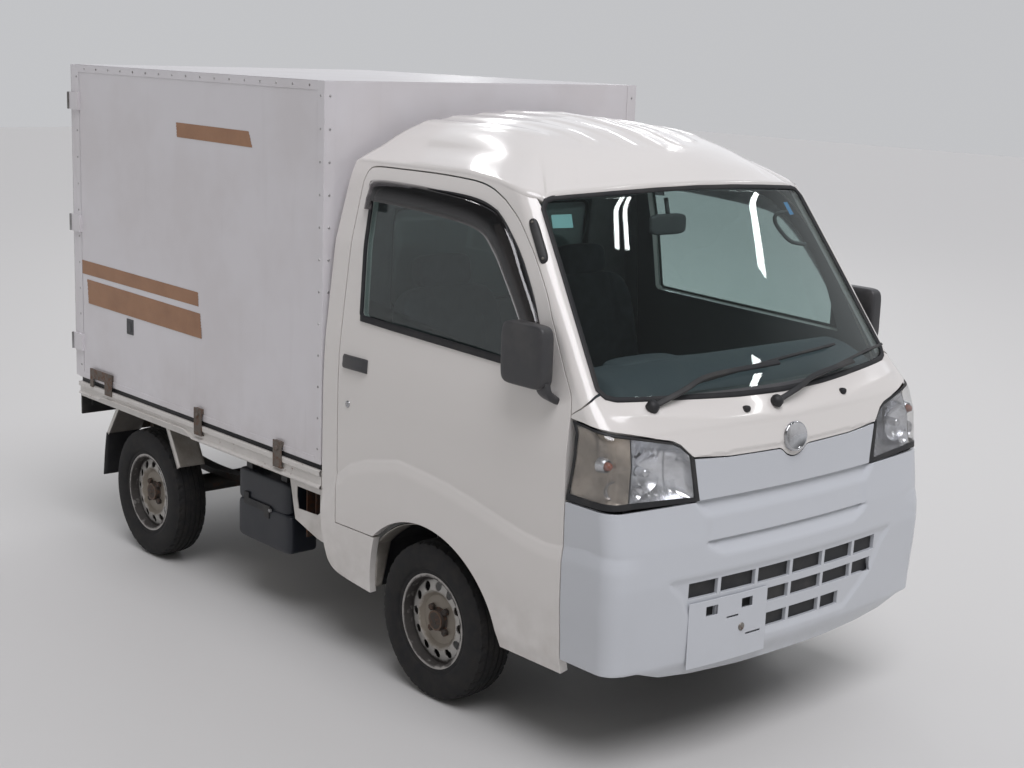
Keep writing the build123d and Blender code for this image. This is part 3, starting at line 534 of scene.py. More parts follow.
frameSteel = makeSheetMetal("painted chassis steel", "#2c2b2a", 0.6, 0.1, 0.35)
rawSteel = makeSheetMetal("zinc plated steel", "#8d8a84", 0.42, 0.7, 0.25)
rustySteel = makeSheetMetal("rusty forged steel", "#756d66", 0.6, 0.4, 0.55, "#664a3a", 18)
castIron = makeSheetMetal("cast iron and aluminium", "#5d5b57", 0.6, 0.4, 0.2)
exhaustMetal = makeSheetMetal("aluminised exhaust steel", "#7d756a", 0.5, 0.7, 0.55)
aluminium = makeSheetMetal("extruded aluminium", "#b9b8b8", 0.38, 0.85, 0.0)
bowlChrome = makeSheetMetal("vacuum coated reflector", "#eef0f4", 0.22, 0.75, 0.0)
amberBowl = makeSheetMetal("dull amber reflector", "#c2b6a8", 0.22, 0.6, 0.0)
chrome = makeSheetMetal("chromed plastic", "#d4d5d8", 0.12, 1.0, 0.0)
hubIron = makeSheetMetal("rusted hub and wheel nuts", "#3f3a37", 0.6, 0.4, 0.55, "#5a4031", 12)
rustedFrame = makeSheetMetal("rusted frame steel", "#4a3a32", 0.7, 0.3, 0.7, "#5e3a26", 30)
galvanised = makeSheetMetal("galvanised steel", "#a9aaab", 0.42, 0.6, 0.05, "#7b5b45", 30)
screenGlass = makeGlass("laminated screen glass", "#eef5f4", 0.94)
sideGlass = makeGlass("tempered side glass", "#dce5e4", 0.94)
smokedVisor = makeGlass("smoked acrylic visor", "#a9a4a6", 0.92, 0.02)
clearLens = makeGlass("clear polycarbonate lens", "#fafafa", 0.94, 0.02)


def makeRubberTyre():
    # tyre rubber, browned by dust where it meets the road
    material, tree, place = newMaterial("tyre rubber", {"Roughness": 0.82, "IOR": 1.5})
    base = blended(tree, patchy(tree, place, 45, 0.40, 0.75, 8), "#141416", "#25221f")
    return dressed(material, base, patchy(tree, place, 4, 0.2, 0.8, 4), 0.2, 0.3)


def makeWheelSteel():
    # silver wheel paint by distance from the axle: rust round the hub, brake dust in the dish, a bright
    # ring with the holes, and painted shade in the dark barrel between the disc and the lip
    material, tree, place = newMaterial("silver painted wheel steel", {"Roughness": 0.42, "Metallic": 0.35})
    split = addNode(tree, "SeparateXYZ", {"Vector": place}).node.outputs
    flat = addNode(tree, "CombineXYZ", {"X": split["X"], "Z": split["Z"]})
    axles = [(x * mm, 0, axleZ * mm) for x in (frontAxleX, rearAxleX)]
    away = [addNode(tree, "VectorMath", {"operation": "DISTANCE", 0: flat, 1: axle}, "Value") for axle in axles]
    radius = addNode(tree, "Math", {"operation": "MINIMUM", 0: away[0], 1: away[1]})
    cloud = patchy(tree, place, 30, 0.2, 0.8, 6)
    uneven = addNode(tree, "Math", {"operation": "MULTIPLY_ADD", 0: cloud, 1: 0.016, 2: radius})
    ramp = addNode(tree, "ValToRGB", {"Fac": addNode(tree, "MapRange", {"From Max": 0.2, "Value": uneven})})
    # the two dark stops at 0.735 and 0.79 are painted shade in the barrel, not a colour of the wheel
    stops = ((0.0, "#4b382c"), (0.20, "#5a4638"), (0.26, "#8f887e"), (0.50, "#7d756a"), (0.56, "#b4b1ac"),
             (0.70, "#b9b7b3"), (0.735, "#55524f"), (0.79, "#4b4846"), (0.82, "#a5a29e"), (1.0, "#9d9a96"))
    elements = ramp.node.color_ramp.elements
    while len(elements) < len(stops):
        elements.new(0.5)
    for element, (position, colour) in zip(elements, stops):
        element.position, element.color = position, hexColour(colour)
    base = blended(tree, patchy(tree, place, 14, 0.66, 0.8, 8, 0.7), ramp, "#6b4a33")
    return dressed(material, base, patchy(tree, place, 5, 0.2, 0.8, 4), 0.15, 0.3)


def makeTapeFilm():
    # brown packing tape with faint creases and scuffs
    material, tree, place = newMaterial("brown packing tape", {"Roughness": 0.40, "IOR": 1.45})
    base = blended(tree, patchy(tree, place, 120, 0.35, 0.75, 4), "#a3795a", "#946c50")
    return dressed(material, base, patchy(tree, place, 40, 0.3, 0.7, 3, stretch=(1, 1, 0.5)), 0.35, 0.5)


def makeCloth(name, colour, shade, weaveSize=1.6):
    # woven cloth: two crossing waves for the threads, drawn as coarse as they need to show
    material, tree, place = newMaterial(name, {"Roughness": 0.92, "Sheen Weight": 0.25})
    base = blended(tree, patchy(tree, place, 60, 0.3, 0.7, 5), colour, shade)
    warp, weft = (addNode(tree, "TexWave", {"bands_direction": way, "Scale": 500 / weaveSize,
                                            "Distortion": 0.6, "Vector": place}, 1) for way in ("X", "Z"))
    weave = addNode(tree, "Math", {"operation": "MULTIPLY", 0: warp, 1: weft})
    return dressed(material, base, weave, 0.18, 0.4)


def makeFilm(name, colour, rough=0.12):
    # moulded coloured lens or printed film: one colour under a clear coat
    material, tree, place = newMaterial(name, {"Roughness": rough, "IOR": 1.49, "Coat Weight": 0.6})
    return dressed(material, blended(tree, patchy(tree, place, 25, 0.3, 0.7, 2), colour, colour))


tyreRubber, wheelSilver, brownTape = makeRubberTyre(), makeWheelSteel(), makeTapeFilm()
seatCloth = makeCloth("grey woven seat cloth", "#4c4d52", "#3c3d42")
headLining = makeCloth("cab headlining", "#8f8f90", "#838384", 2.4)
redLens = makeFilm("red tail lens", "#8c1210")
amberLens = makeFilm("amber lens", "#c96a1c")
whiteLens = makeFilm("white reversing lens", "#c9c9c6")
amberBulb = makeFilm("amber bulb", "#8a4a34")
tealLabel = makeFilm("teal film", "#8fbcbd", 0.5)
blueLabel = makeFilm("blue film", "#3f93cf", 0.5)
print("materials ready:", len(bpy.data.materials))

# girth: roughly millimetres along the skin from the middle of the nose, for even spacing
girthStops, sStops = (0, 690, 778, 2228), (0, 1, 2, 3)


def girthOf(s):
    return np.interp(s, sStops, girthStops)


def sOf(girth):
    return np.interp(girth, girthStops, sStops)


def fillIn(stops, step):
    # the stops with even steps between them no longer than step
    stops = np.asarray(stops, float)
    runs = [np.linspace(a, b, max(1, int(math.ceil((b - a) / step))), endpoint=False)
            for a, b in zip(stops[:-1], stops[1:])]
    return np.concatenate(runs + [stops[-1:]])


# bumper: rows of height and columns of width; cells in the grille and lamp openings are left out
grille = dict(rows=((536, 586, 446), (466, 512, 430), (386, 430, 260)), barHalf=7.0, pitch=161.0,
              recessZ=(372, 470, 550, 608), recessY=(300, 436, 484, 545), recessFoot=366, recessDepth=6.0,
              wall=16.0)
bumper = dict(footY=(0, 200, 410, 532, 630, 760), footZ=(283, 283, 292, 306, 338, 342),
              seamY=(0, 15, 30, 42, 51, 59, 70, 110, 287, 425, 440),
              seamZ=(914, 916, 921.5, 929, 936.5, 942, 945, 946, 949, 961, 963),
              lampInnerY=405.0, lampFootZ=829.0)


def grilleRecess(y, z):
    # how far the frame round the openings is pressed in: from its edges inwards over 14 mm
    inside = np.minimum(grille["recessZ"][-1] - z, z - grille["recessFoot"])
    inside = np.minimum(inside, np.interp(z, grille["recessZ"], grille["recessY"]) - y)
    return grille["recessDepth"] * soften(inside / 14)


def makeBumper():
    # columns: the ruled front, the rest of the front, the corner, and the flank as far as the seam
    yStops = [0, 7, 15, 30, 42, 51, 59, 70, 110, 154, 168, 260, 315, 329, 405, 430, 446, 560]
    yLines = fillIn(yStops, 10)
    ruled, rest, corner, flank = len(yLines), 12, 18, 14
    lampColumn = int(np.searchsorted(yLines, bumper["lampInnerY"] - 0.1))
    count = ruled + rest + corner + flank
    low, high = 386, 832
    zStops = [low, 430, 466, 512, 536, 586, 620, 654, 703, 707, 777, bumper["lampFootZ"], high]
    lowRows, midRows, topRows = np.linspace(0, 1, 12)[:-1], fillIn(zStops, 9), np.linspace(0, 1, 14)[1:]
    rows = len(lowRows) + len(midRows) + len(topRows)
    yGuide = np.concatenate([yLines, np.linspace(560, 690, rest + 1)[1:], np.full(corner + flank, 737.0)])
    foot, seam = (np.interp(yGuide, bumper[k + "Y"], bumper[k + "Z"]) for k in ("foot", "seam"))
    z = np.concatenate([foot + (low - foot) * lowRows[:, None], np.repeat(midRows[:, None], count, 1),
                        high + (seam - high) * topRows[:, None]])
    lean = np.clip((z - bumper["lampFootZ"]) / 146, 0, 1) * 25 * soften((yGuide - 250) / 155)
    s = np.empty((rows, count))
    s[:, :ruled] = alongY(yGuide[None, :ruled] + lean[:, :ruled], z[:, :ruled])
    last = s[:, ruled - 1:ruled]
    s[:, ruled:ruled + rest] = last + (1 - last) * np.linspace(0, 1, rest + 1)[1:]
    s[:, ruled + rest:-flank] = 1 + np.linspace(0, 1, corner + 1)[1:]
    end = alongX(seamX + gap, z[:, -1:])
    s[:, -flank:] = 2 + (end - 2) * np.linspace(0, 1, flank + 1)[1:]
    points = skin(s, z)
    points[..., 0] -= grilleRecess(points[..., 1], z)
    middleY = (yGuide[:-1] + yGuide[1:]) / 2
    middleZ = (z[:-1, :-1] + z[1:, 1:]) / 2
    keep = ~((middleZ > bumper["lampFootZ"]) & (np.arange(count - 1) >= lampColumn))
    fromBar = np.abs((middleY + grille["pitch"] / 2) % grille["pitch"] - grille["pitch"] / 2)
    for low, high, half in grille["rows"]:
        keep &= ~((middleZ > low) & (middleZ < high) & (middleY < half) & (fromBar > grille["barHalf"]))
    return surface(points, keep=keep)


def makeGrilleBack():
    # the dark sheet behind the openings, on the nose less 19 mm
    y, z = np.meshgrid(fillIn((0, 446, 470), 12), fillIn((374, 600), 12))
    return surface(skinByY(np.stack([y, z], -1), -19.0))


piece("grilleBack", bothSides([makeGrilleBack()]), blackPlastic, wall=1.5)
piece("bumperSkin", bothSides([makeBumper()]), bumperShadedPaint, ("bumper",),
      wall=grille["wall"], bevel=1.6)

# lid and cowl between the lamps and the windscreen
lid = dict(highY=(0, 200, 380, 560, 625, 655, 672), highZ=(1110, 1113, 1120, 1125, 1129, 1137, 1147),
           lampGirth=(430, 437, 452, 474, 503, 565, 624, 716, 790, 935),
           lampZ=(963, 968, 982, 1003, 1017, 1029, 1041, 1060, 1071, 1082), cornerZ=1087)


def makeLid():
    stops = [0, 15, 30, 42, 51, 59, 70, 110, 280, 424, 430, 437, 452, 474, 500, 560, 625, 655, 672, 690]
    girth = np.concatenate([fillIn(stops, 12), np.linspace(690, 778, 18)[1:]])
    seam = float(girthOf(alongX(seamX + gap, 1086)))
    girth = np.concatenate([girth, 778 + (seam - 778) * np.linspace(0, 1, 15)[1:]])
    low = np.where(girth < 430, np.interp(girth, bumper["seamY"], bumper["seamZ"]) + gap,
                   np.interp(girth, lid["lampGirth"], lid["lampZ"]) + 3)
    high = np.interp(girth, [*lid["highY"], seam], [*lid["highZ"], lid["cornerZ"]])
    t = np.linspace(0, 1, 30)[:, None]
    z = low + (high - low) * t
    s = sOf(np.repeat(girth[None], len(t), 0))
    inner = girth <= 560
    s[:, inner] = alongY(np.repeat(girth[None, inner], len(t), 0), z[:, inner])
    ramp = girth > 778
    end = alongX(seamX + gap, z[:, -1:])
    s[:, ramp] = 2 + (end - 2) * (girth[ramp] - 778) / (seam - 778)
    return surface(skin(s, z))


piece("frontLid", bothSides([makeLid()]), white, ("front_panel",), wall=12, bevel=1.6)
print("nose done")

# headlamps
lamp = dict(footGirth=(405, 661, 940), footZ=(832, 839, 834), divide=0.52, rows=46, columns=96,
            border=(0.085, 0.040, 0.030, 0.022), lensBack=1.5)


def lampLattice(rows, columns, a0=0.0, a1=1.0, b0=0.0, b1=1.0):
    # a runs from the inner edge round to the seam, b from the foot to the top
    a, b = np.linspace(a0, a1, columns)[None], np.linspace(b0, b1, rows)[:, None]
    seam = [float(girthOf(alongX(seamX + gap, z))) for z in (834, 1080)]
    footGirth, topGirth = 408 + (seam[0] - 408) * a, 432 + (seam[1] - 432) * a
    footZ = np.interp(footGirth, lamp["footGirth"], lamp["footZ"])
    topZ = np.interp(topGirth, lid["lampGirth"], lid["lampZ"]) - 3
    girth, z = footGirth + (topGirth - footGirth) * b, footZ + (topZ - footZ) * b
    return sOf(girth), z, np.broadcast_to(a, girth.shape), np.broadcast_to(b, girth.shape)


def makeLens():
    s, z = lampLattice(lamp["rows"], lamp["columns"])[:2]
    return surface(skin(s, z, -lamp["lensBack"]))


def makeBorder():
    s, z, a, b = lampLattice(lamp["rows"] * 2, lamp["columns"] * 2)
    low, inner, top, outer = lamp["border"]
    middle = [(k[:-1, :-1] + k[1:, 1:]) / 2 for k in (a, b)]
    keep = (middle[1] < low) | (middle[0] < inner) | (middle[1] > 1 - top) | (middle[0] > 1 - outer)
    return surface(skin(s, z, -0.4), keep=keep)


def makeBowl(a0, a1, depth, flutes):
    # the sheet behind the lens: depth (1 - p^4)(1 - q^4) with p and q from -1 to 1, plus fine flutes
    s, z, a, b = lampLattice(40, 90, a0, a1, 0.02, 0.98)
    p, q = 2 * (a - a0) / (a1 - a0) - 1, 2 * b - 1
    sink = 6 + depth * (1 - p ** 4) * (1 - q ** 4)
    sink += 1.3 * np.cos(flutes * np.pi * p) * (1 - p ** 4) * (1 - q ** 4)
    return surface(skin(s, z, -sink))


piece("lampBorder", bothSides([makeBorder()]), blackPlastic, ("headlamps",), wall=4)
piece("lampLens", bothSides([makeLens()]), clearLens, wall=2.5)
piece("lampBowl", bothSides([makeBowl(0.03, lamp["divide"], 56, 9)]), bowlChrome)
piece("lampSideBowl", bothSides([makeBowl(lamp["divide"] + 0.01, 0.997, 30, 4)]), amberBowl)


def onLamp(y, z, sink):
    # a point behind the lens
    spot = skinByY(np.array([y, z], float), -sink)
    return float(spot[0]), float(spot[1]), float(spot[2])


def dish(centre, radius, depth):
    # a paraboloid open to the front: x = -depth (1 - (r / radius)^2)
    r = np.linspace(0.5, radius, 16)
    return lathe(np.stack([r, -depth * (1 - (r / radius) ** 2)], -1), centre, "x", 48)


mainBulb = onLamp(600, 936, 16)
lowBulb = onLamp(636, 884, 10)
lampParts = [dish(mainBulb, 62, 34), dish(lowBulb, 24, 16),
             lathe([(14, -30), (14, 2), (10, 8), (0.1, 10)], mainBulb, "x", 24)]
piece("lampDishes", bothSides(lampParts), bowlChrome, solid=True, sharp=50)
sideBulb = (1572.0, 712.0, 962.0)
socket = lathe([(24, -26), (20, 0), (17, 2), (17, -20)], sideBulb, "x", 28)
piece("lampSocket", bothSides([socket, dish((1584.0, 706.0, 893.0), 27, 16)]), bowlChrome,
      solid=True, sharp=50)
bulb = lathe([(12, -22), (13, 2), (11, 12), (6, 18), (0.1, 20)], sideBulb, "x", 24)
piece("lampBulb", bothSides([bulb]), amberBulb)
print("lamps done")

# windscreen: z from its foot to its head, y a share of the leaning side edge
screen = dict(share=(0, 0.30, 0.57, 0.84, 0.93, 0.975, 1.0), footZ=(1116, 1119, 1126, 1131, 1134, 1142, 1163),
              headZ=(1702, 1699, 1692, 1683, 1679, 1671, 1648), sideY=(672, 597), sideZ=(1133, 1677))


def screenPoint(share, rise):
    low, high = (np.interp(share, screen["share"], screen[k]) for k in ("footZ", "headZ"))
    z = low + (high - low) * rise
    y = share * np.interp(z, screen["sideZ"], screen["sideY"])
    return np.stack([y, z], -1)


shares = fillIn((0, 0.9), 0.03).tolist() + np.linspace(0.9, 1, 12)[1:].tolist()
screenEdge = chain(screenPoint(np.array(shares), 0.0), screenPoint(1.0, np.linspace(0, 1, 60)),
                   screenPoint(np.array(shares[::-1]), 1.0))
screenGrid = screenPoint(np.array(shares)[None], np.linspace(0, 1, 48)[:, None])
piece("windscreen", bothSides([surface(skinByY(screenGrid, -2.5))]), screenGlass,
      ("cab_glass",), wall=4.5)
sealLine = skinByY(screenEdge, 0.5)
sealLine = np.concatenate([sealLine, (sealLine * (1, -1, 1))[::-1][1:-1]])
piece("screenSeal", [sweep(sealLine, circle(9, 12, 0.40), up=(0.8, 0, 0.6), closed=True)], blackRubber)

# cab sides: a strip from the door's gap out to the screen, the roof and the back edge
side = dict(rows=12, roofX=(1114, 1060, 960, 800, 500, 227), roofZ=(1677, 1692, 1712, 1727, 1728, 1727),
            backX=(227, 214, 201, 192, 188, 188), backZ=(1727, 1600, 1457, 1147, 650, 481), footZ=481)
doorUpper = chain(*[run[0] for run in doorRuns[1:4]],
                  spaced([(doorBackX, 1100), (doorBackX, side["footZ"])], 44))
doorUpperOut = widened(doorUpper, gap)
doorUpperOut[0], doorUpperOut[-1] = (seamX + gap, 1090), (doorBackX - gap, side["footZ"])


def toGirth(xz):
    # a line in side view as (girth, z)
    return np.stack([girthOf(alongX(xz[:, 0], xz[:, 1])), xz[:, 1]], -1)


def screenSideGirth(count):
    yz = screenPoint(1.0, np.linspace(-0.02, 1.0, count))
    return np.stack([girthOf(alongY(yz[:, 0], yz[:, 1])), yz[:, 1]], -1)


def makeCabSide():
    inner = toGirth(doorUpperOut)
    roofLine = toGirth(spaced(np.stack([side["roofX"], side["roofZ"]], -1), 70))
    backLine = toGirth(spaced(np.stack([side["backX"], side["backZ"]], -1), 83))
    outer = chain(screenSideGirth(64), roofLine, backLine)
    band = between(inner, outer, side["rows"])
    lines = skin(sOf(band[..., 0]), band[..., 1])
    corner = (doorBackX - gap, side["footZ"])
    foot = skinByX(spaced([(side["backX"][-1], side["footZ"]), corner], side["rows"]))
    lines[:, -1] = foot[::-1]
    low = np.concatenate([foot, skinByX(spaced([corner, (497, side["footZ"])], 24))[1:]])
    edge = skinByX(through([(189, 474), (196, 430), (207, 396), (231, 330), (262, 302), (335, 288),
                            (466, 276)], len(low)))
    patch = between(low, edge, 18)
    bulge = np.sin(np.linspace(0, np.pi, 18))[:, None] * np.linspace(0, 1, len(low)) ** 6
    patch[..., 0] -= 11 * bulge
    return [surface(lines), surface(patch)]


for hand in ("Left", "Right"):
    piece("cabSide" + hand, onSide(hand, makeCabSide()), white,
          ("cab_side_" + hand.lower(),), wall=26, bevel=1.8, inner=headLining, weld=1.2)
print("cab sides done")

# doors: a ring round the window above, a lattice that follows the pressed crease below
midZ = 900.0
lowX = np.concatenate([np.linspace(doorBackX, 470, 16), np.linspace(478, 520, 12), np.linspace(530, 1090, 50),
                       np.linspace(1097, 1146, 20), np.linspace(1149.5, 1157, 3),
                       np.linspace(1170, seamX, 22)])


def doorFoot(x):
    reach = np.sqrt(np.clip(arch["radius"] ** 2 - (x - arch["x"]) ** 2, 0, None))
    height = np.where((x > 490.6) & (x < 1149.1), arch["z"] + reach, np.where(x < 600, doorStepZ, doorSillZ))
    return np.maximum(height, np.where(x < 600, doorStepZ, doorSillZ))


def makeDoorSkin():
    crease = np.interp(lowX, cab["creaseX"], cab["creaseZ"])
    foot = doorFoot(lowX)
    t = lambda n: np.linspace(0, 1, n)[:, None]
    high = midZ + (crease + 60 - midZ) * t(7)[:-1]
    near = crease + 60 - 125 * t(30)
    low = near[-1] + (foot - near[-1]) * t(24)[1:]
    z = np.concatenate([high, near, low])
    lower = skin(alongX(np.broadcast_to(lowX, z.shape), z), z)
    ringRuns = [
        (spaced([(seamX, midZ), (seamX, 1085)], 22), spaced([(1279, 1190), (1266, 1228)], 22)),
        *doorRuns[1:4],
        (spaced([(doorBackX, 1100), (doorBackX, midZ)], 22), spaced([(384, 1232), (396, 1220)], 22)),
        (np.stack([lowX, np.full(len(lowX), midZ)], -1),
         spaced([(396, 1220), (560, 1214), (1279, 1190)], len(lowX)))]
    outerEdge = chain(*[run[0] for run in ringRuns])[:-1]
    innerEdge = chain(*[run[1] for run in ringRuns])[:-1]
    band = between(innerEdge, outerEdge, 16)
    ring = surface(skinByX(band), closed=True)
    return [surface(lower), ring], innerEdge


doorParts, glassEdge = makeDoorSkin()
glassLow = spaced([(384, 1232), (396, 1220), (560, 1214), (1240, 1190), (1279, 1190)], 60)
glassHigh = chain(spaced([(384, 1232), (360, 1620)], 16)[:-1],
                  doorRuns[2][1][::-1][:-1], doorRuns[1][1][::-1], spaced([(1266, 1228), (1279, 1190)], 4))
glassGrid = between(glassLow, spaced(glassHigh, 60), 26)
for hand in ("Left", "Right"):
    body = "door_" + hand.lower()
    piece("doorSkin" + hand, onSide(hand, doorParts), white, (body,), body=body, wall=30,
          bevel=1.8, inner=trimPlastic, weld=0.4)
    piece("doorGlass" + hand, onSide(hand, [surface(skinByX(glassGrid, -11))]), sideGlass,
          ("door_glass_" + hand.lower(),), body=body, wall=4)
print("doors done")

# roof: rows fan from the edge over the doors and the screen to the ridge
roof = dict(
    edgeX=(227, 500, 800, 960, 1060, 1114), edgeZ=(1727, 1728, 1727, 1712, 1692, 1679),
    ridgeX=(284, 560), ridgeZ=(1895, 1903),
    sideQ=(0, 0.07, 0.159, 0.265, 0.408, 0.629, 1), sideRise=(0, 0.158, 0.297, 0.545, 0.77, 0.891, 1),
    frontQ=(0, 0.096, 0.25, 0.479, 0.786, 1), frontRise=(0, 0.297, 0.569, 0.80, 0.955, 1),
    ribY=(0, 118, 236, 354), ribHalf=36.0, ribHeight=4.0, ribFront=(1010, 990, 930, 830), ribBack=262.0,
    wall=14.0, cornerWindow=31, cornerRise=0.30)


def smoothCurve(q, knots, values):
    # the knots' curve averaged over a narrow window, so it has no corners
    reach = np.linspace(-0.055, 0.055, 9)[:, None, None]
    return np.mean(np.interp(np.clip(q[None] + reach, 0, 1), knots, values), 0)


def ribs(x, y):
    # raised bands along the roof with round front ends: distance from each band's middle line
    height = np.zeros_like(x)
    for middle, front in zip(roof["ribY"], roof["ribFront"]):
        beyond = np.maximum(np.maximum(x - front, roof["ribBack"] - x), 0)
        away = np.hypot(beyond, y - middle)
        height += roof["ribHeight"] * soften((roof["ribHalf"] - away) / 16)
    return height


def makeRoof():
    top = screenPoint(np.array(shares[::-1]), 1.0)
    screenTop = skinByY(top)
    screenTop = screenTop[np.linspace(2, len(screenTop) - 1, 44).astype(int)]
    xs = np.linspace(roof["edgeX"][0], roof["edgeX"][-1], 62)
    zs = np.interp(xs, roof["edgeX"], roof["edgeZ"])
    along = skinByX(np.stack([xs, zs], -1))
    edge = np.concatenate([along, screenTop])
    count = len(edge)
    v = np.concatenate([np.linspace(0, 0.62, len(along)), np.linspace(0.62, 1, len(screenTop) + 1)[1:]])
    ridge = np.stack([np.interp(v, (0, 1), roof["ridgeX"]), 0 * v, np.interp(v, (0, 1), roof["ridgeZ"])], -1)
    q = np.linspace(0, 1, 56)[None] ** 0.85 * np.ones((count, 1))
    front = soften((v - 0.45) / 0.45)[:, None]
    sideShape = smoothCurve(q, roof["sideQ"], roof["sideRise"])
    frontShape = smoothCurve(q, roof["frontQ"], roof["frontRise"])
    ends = soften(q / 0.06)
    sideShape = sideShape * ends + np.interp(q, roof["sideQ"], roof["sideRise"]) * (1 - ends)
    rise = sideShape * (1 - front) + frontShape * front
    rise = np.where(q >= 0.999, 1.0, rise)
    # above its foot the roof follows the edge averaged over a window, so its corner over the pillar is round
    window = np.hanning(roof["cornerWindow"] + 2)[1:-1]
    reach = len(window) // 2
    padded = np.concatenate([np.repeat(edge[:1], reach, 0), edge, np.repeat(edge[-1:], reach, 0)])
    mean = np.stack([np.convolve(padded[:, i], window / window.sum(), "valid") for i in range(3)], -1)
    near = np.clip(np.minimum(np.arange(count), np.arange(count)[::-1]) / reach, 0, 1)[:, None]
    mean = edge + (mean - edge) * near
    share = soften(q / roof["cornerRise"])[..., None]
    foot = edge[:, None] * (1 - share) + mean[:, None] * share
    flat = foot * (1 - q[..., None]) + ridge[:, None] * q[..., None]
    flat[..., 2] = foot[..., 2] + (ridge[:, None, 2] - foot[..., 2]) * rise
    flat[..., 2] += ribs(flat[..., 0], flat[..., 1]) * soften(q / 0.2)
    back = flat[0]
    lip = np.stack([back - (10 * d, 0, 34 * d * d) for d in np.linspace(0, 1, 5)])
    return surface(flat), surface(lip, flip=True), back


roofTop, roofLip, roofBack = makeRoof()
piece("roofSkin", bothSides([roofTop, roofLip]), white, ("cab_roof",), wall=roof["wall"],
      inner=headLining, weld=0.6)

# back wall of the cab, a ring round the rear window
rear = dict(half=470.0, low=1200.0, high=1560.0, corner=45.0,
            x=(188, 188, 192, 201, 227, 262), z=(400, 650, 1147, 1457, 1728, 1870))


def rearX(z):
    return np.interp(z, rear["z"], rear["x"])


def makeBackWall():
    edge, low, high = rear["half"], rear["low"], rear["high"]
    hole = roundedCorners([(-edge, low), (edge, low), (edge, high), (-edge, high)], rear["corner"], 8)
    hole = spaced(np.concatenate([hole, hole[:1]]), 161)[:-1]
    middleZ = (low + high) / 2
    angle = np.arctan2(hole[:, 1] - middleZ, hole[:, 0])
    sideZ = np.linspace(655, 1727, 30)
    halfAt = skinByX(np.stack([rearX(sideZ) + 3, sideZ], -1))[:, 1] - 6
    top = roofBack[:, 1:] - (4, 8)
    half = np.concatenate([np.stack([np.linspace(0, halfAt[0], 12), np.full(12, 655.0)], -1)[:-1],
                           np.stack([halfAt, sideZ], -1), top[1:]])
    loop = np.concatenate([half, (half * (-1, 1))[::-1][1:-1]])
    loopAngle = np.arctan2(loop[:, 1] - middleZ, loop[:, 0])
    order = np.argsort(loopAngle)
    wrapped = np.concatenate([loopAngle[order] - 2 * np.pi, loopAngle[order], loopAngle[order] + 2 * np.pi])
    outer = np.stack([np.interp(angle, wrapped, np.tile(loop[order][:, i], 3)) for i in (0, 1)], -1)
    ring = between(hole, outer, 8)
    points = np.concatenate([rearX(ring[..., 1])[..., None] + 4, ring], -1)
    foot, head = (spaced([(-edge, z), (edge, z)], 20) for z in (low, high))
    pane = between(foot, head, 8)
    panePoints = np.concatenate([rearX(pane[..., 1])[..., None] + 20, pane], -1)
    return surface(points, closed=True), surface(panePoints, flip=True), points[0]


backRing, backPane, backHole = makeBackWall()
piece("cabBackWall", [backRing], white, ("cab_back",), wall=10, inner=headLining)
piece("rearPane", [backPane], sideGlass, wall=3)
piece("rearSeal", [sweep(backHole, circle(11, 10, 0.6), up=(1, 0, 0), closed=True)], blackRubber)
print("roof and back done")


# rounded solids
def pillow(centre, half, power, rows=28, columns=56):
    # superellipsoid: x = a c(u) c(v), y = b c(u) s(v), z = c s(u), where c and s keep their sign
    # and are raised to the power, so a low power gives a box with round edges
    u = np.linspace(-np.pi / 2, np.pi / 2, rows)[:, None]
    v = np.linspace(0, 2 * np.pi, columns, endpoint=False)[None]
    signed = lambda value: np.sign(value) * np.abs(value) ** power
    points = np.stack([signed(np.cos(u)) * signed(np.cos(v)), signed(np.cos(u)) * signed(np.sin(v)),
                       signed(np.sin(u)) * np.ones_like(v)], -1)
    return surface(points * half + np.array(centre, float), closed=True)


def rod(start, end, radius):
    start, end = np.array(start, float), np.array(end, float)
    way = (end - start) / np.linalg.norm(end - start)
    up = (0, 0, 1) if abs(way[2]) < 0.9 else (1, 0, 0)
    return sweep([start, end], circle(radius, 14), up=up)


def roundedBar(halfWidth, halfHeight, corner, count=4):
    # a rectangle profile with round corners
    made = []
    for x, y, a in ((1, 1, 0), (-1, 1, 90), (-1, -1, 180), (1, -1, 270)):
        turn = np.radians(np.linspace(a, a + 90, count))
        made.append(np.stack([x * (halfWidth - corner) + corner * np.cos(turn),
                              y * (halfHeight - corner) + corner * np.sin(turn)], -1))
    return np.concatenate(made)


def onSkin(xz, rise):
    # the plain skin at these (x, z), each point lifted by its rise
    s = alongX(xz[..., 0], xz[..., 1])
    return plainSkin(s, xz[..., 1]) + outward(s, xz[..., 1]) * rise[..., None]


# door trim: window seal, smoked visor, handle, lock and folded mirror
trim = dict(
    visorOut=((331, 1574), (338, 1638), (370, 1673), (697, 1668), (953, 1640), (1070, 1567), (1160, 1452),
              (1242, 1336), (1268, 1262)),
    visorIn=((396, 1574), (398, 1592), (414, 1602), (697, 1590), (930, 1566), (1024, 1512), (1114, 1415),
             (1198, 1304), (1226, 1238)),
    visorRise=(1, 12, 20, 24, 25, 25), handle=(374, 1060, 69, 24), lock=(338, 915),
    mirror=(1280, 773, 1245), mirrorHalf=(94, 27.5, 94))


def makeVisor():
    outer, inner = (through(trim[k], 90) for k in ("visorOut", "visorIn"))
    rows = between(outer, inner, 6)
    lifted = [skinByX(row, rise) for row, rise in zip(rows, trim["visorRise"])]
    return surface(np.stack(lifted), flip=True)


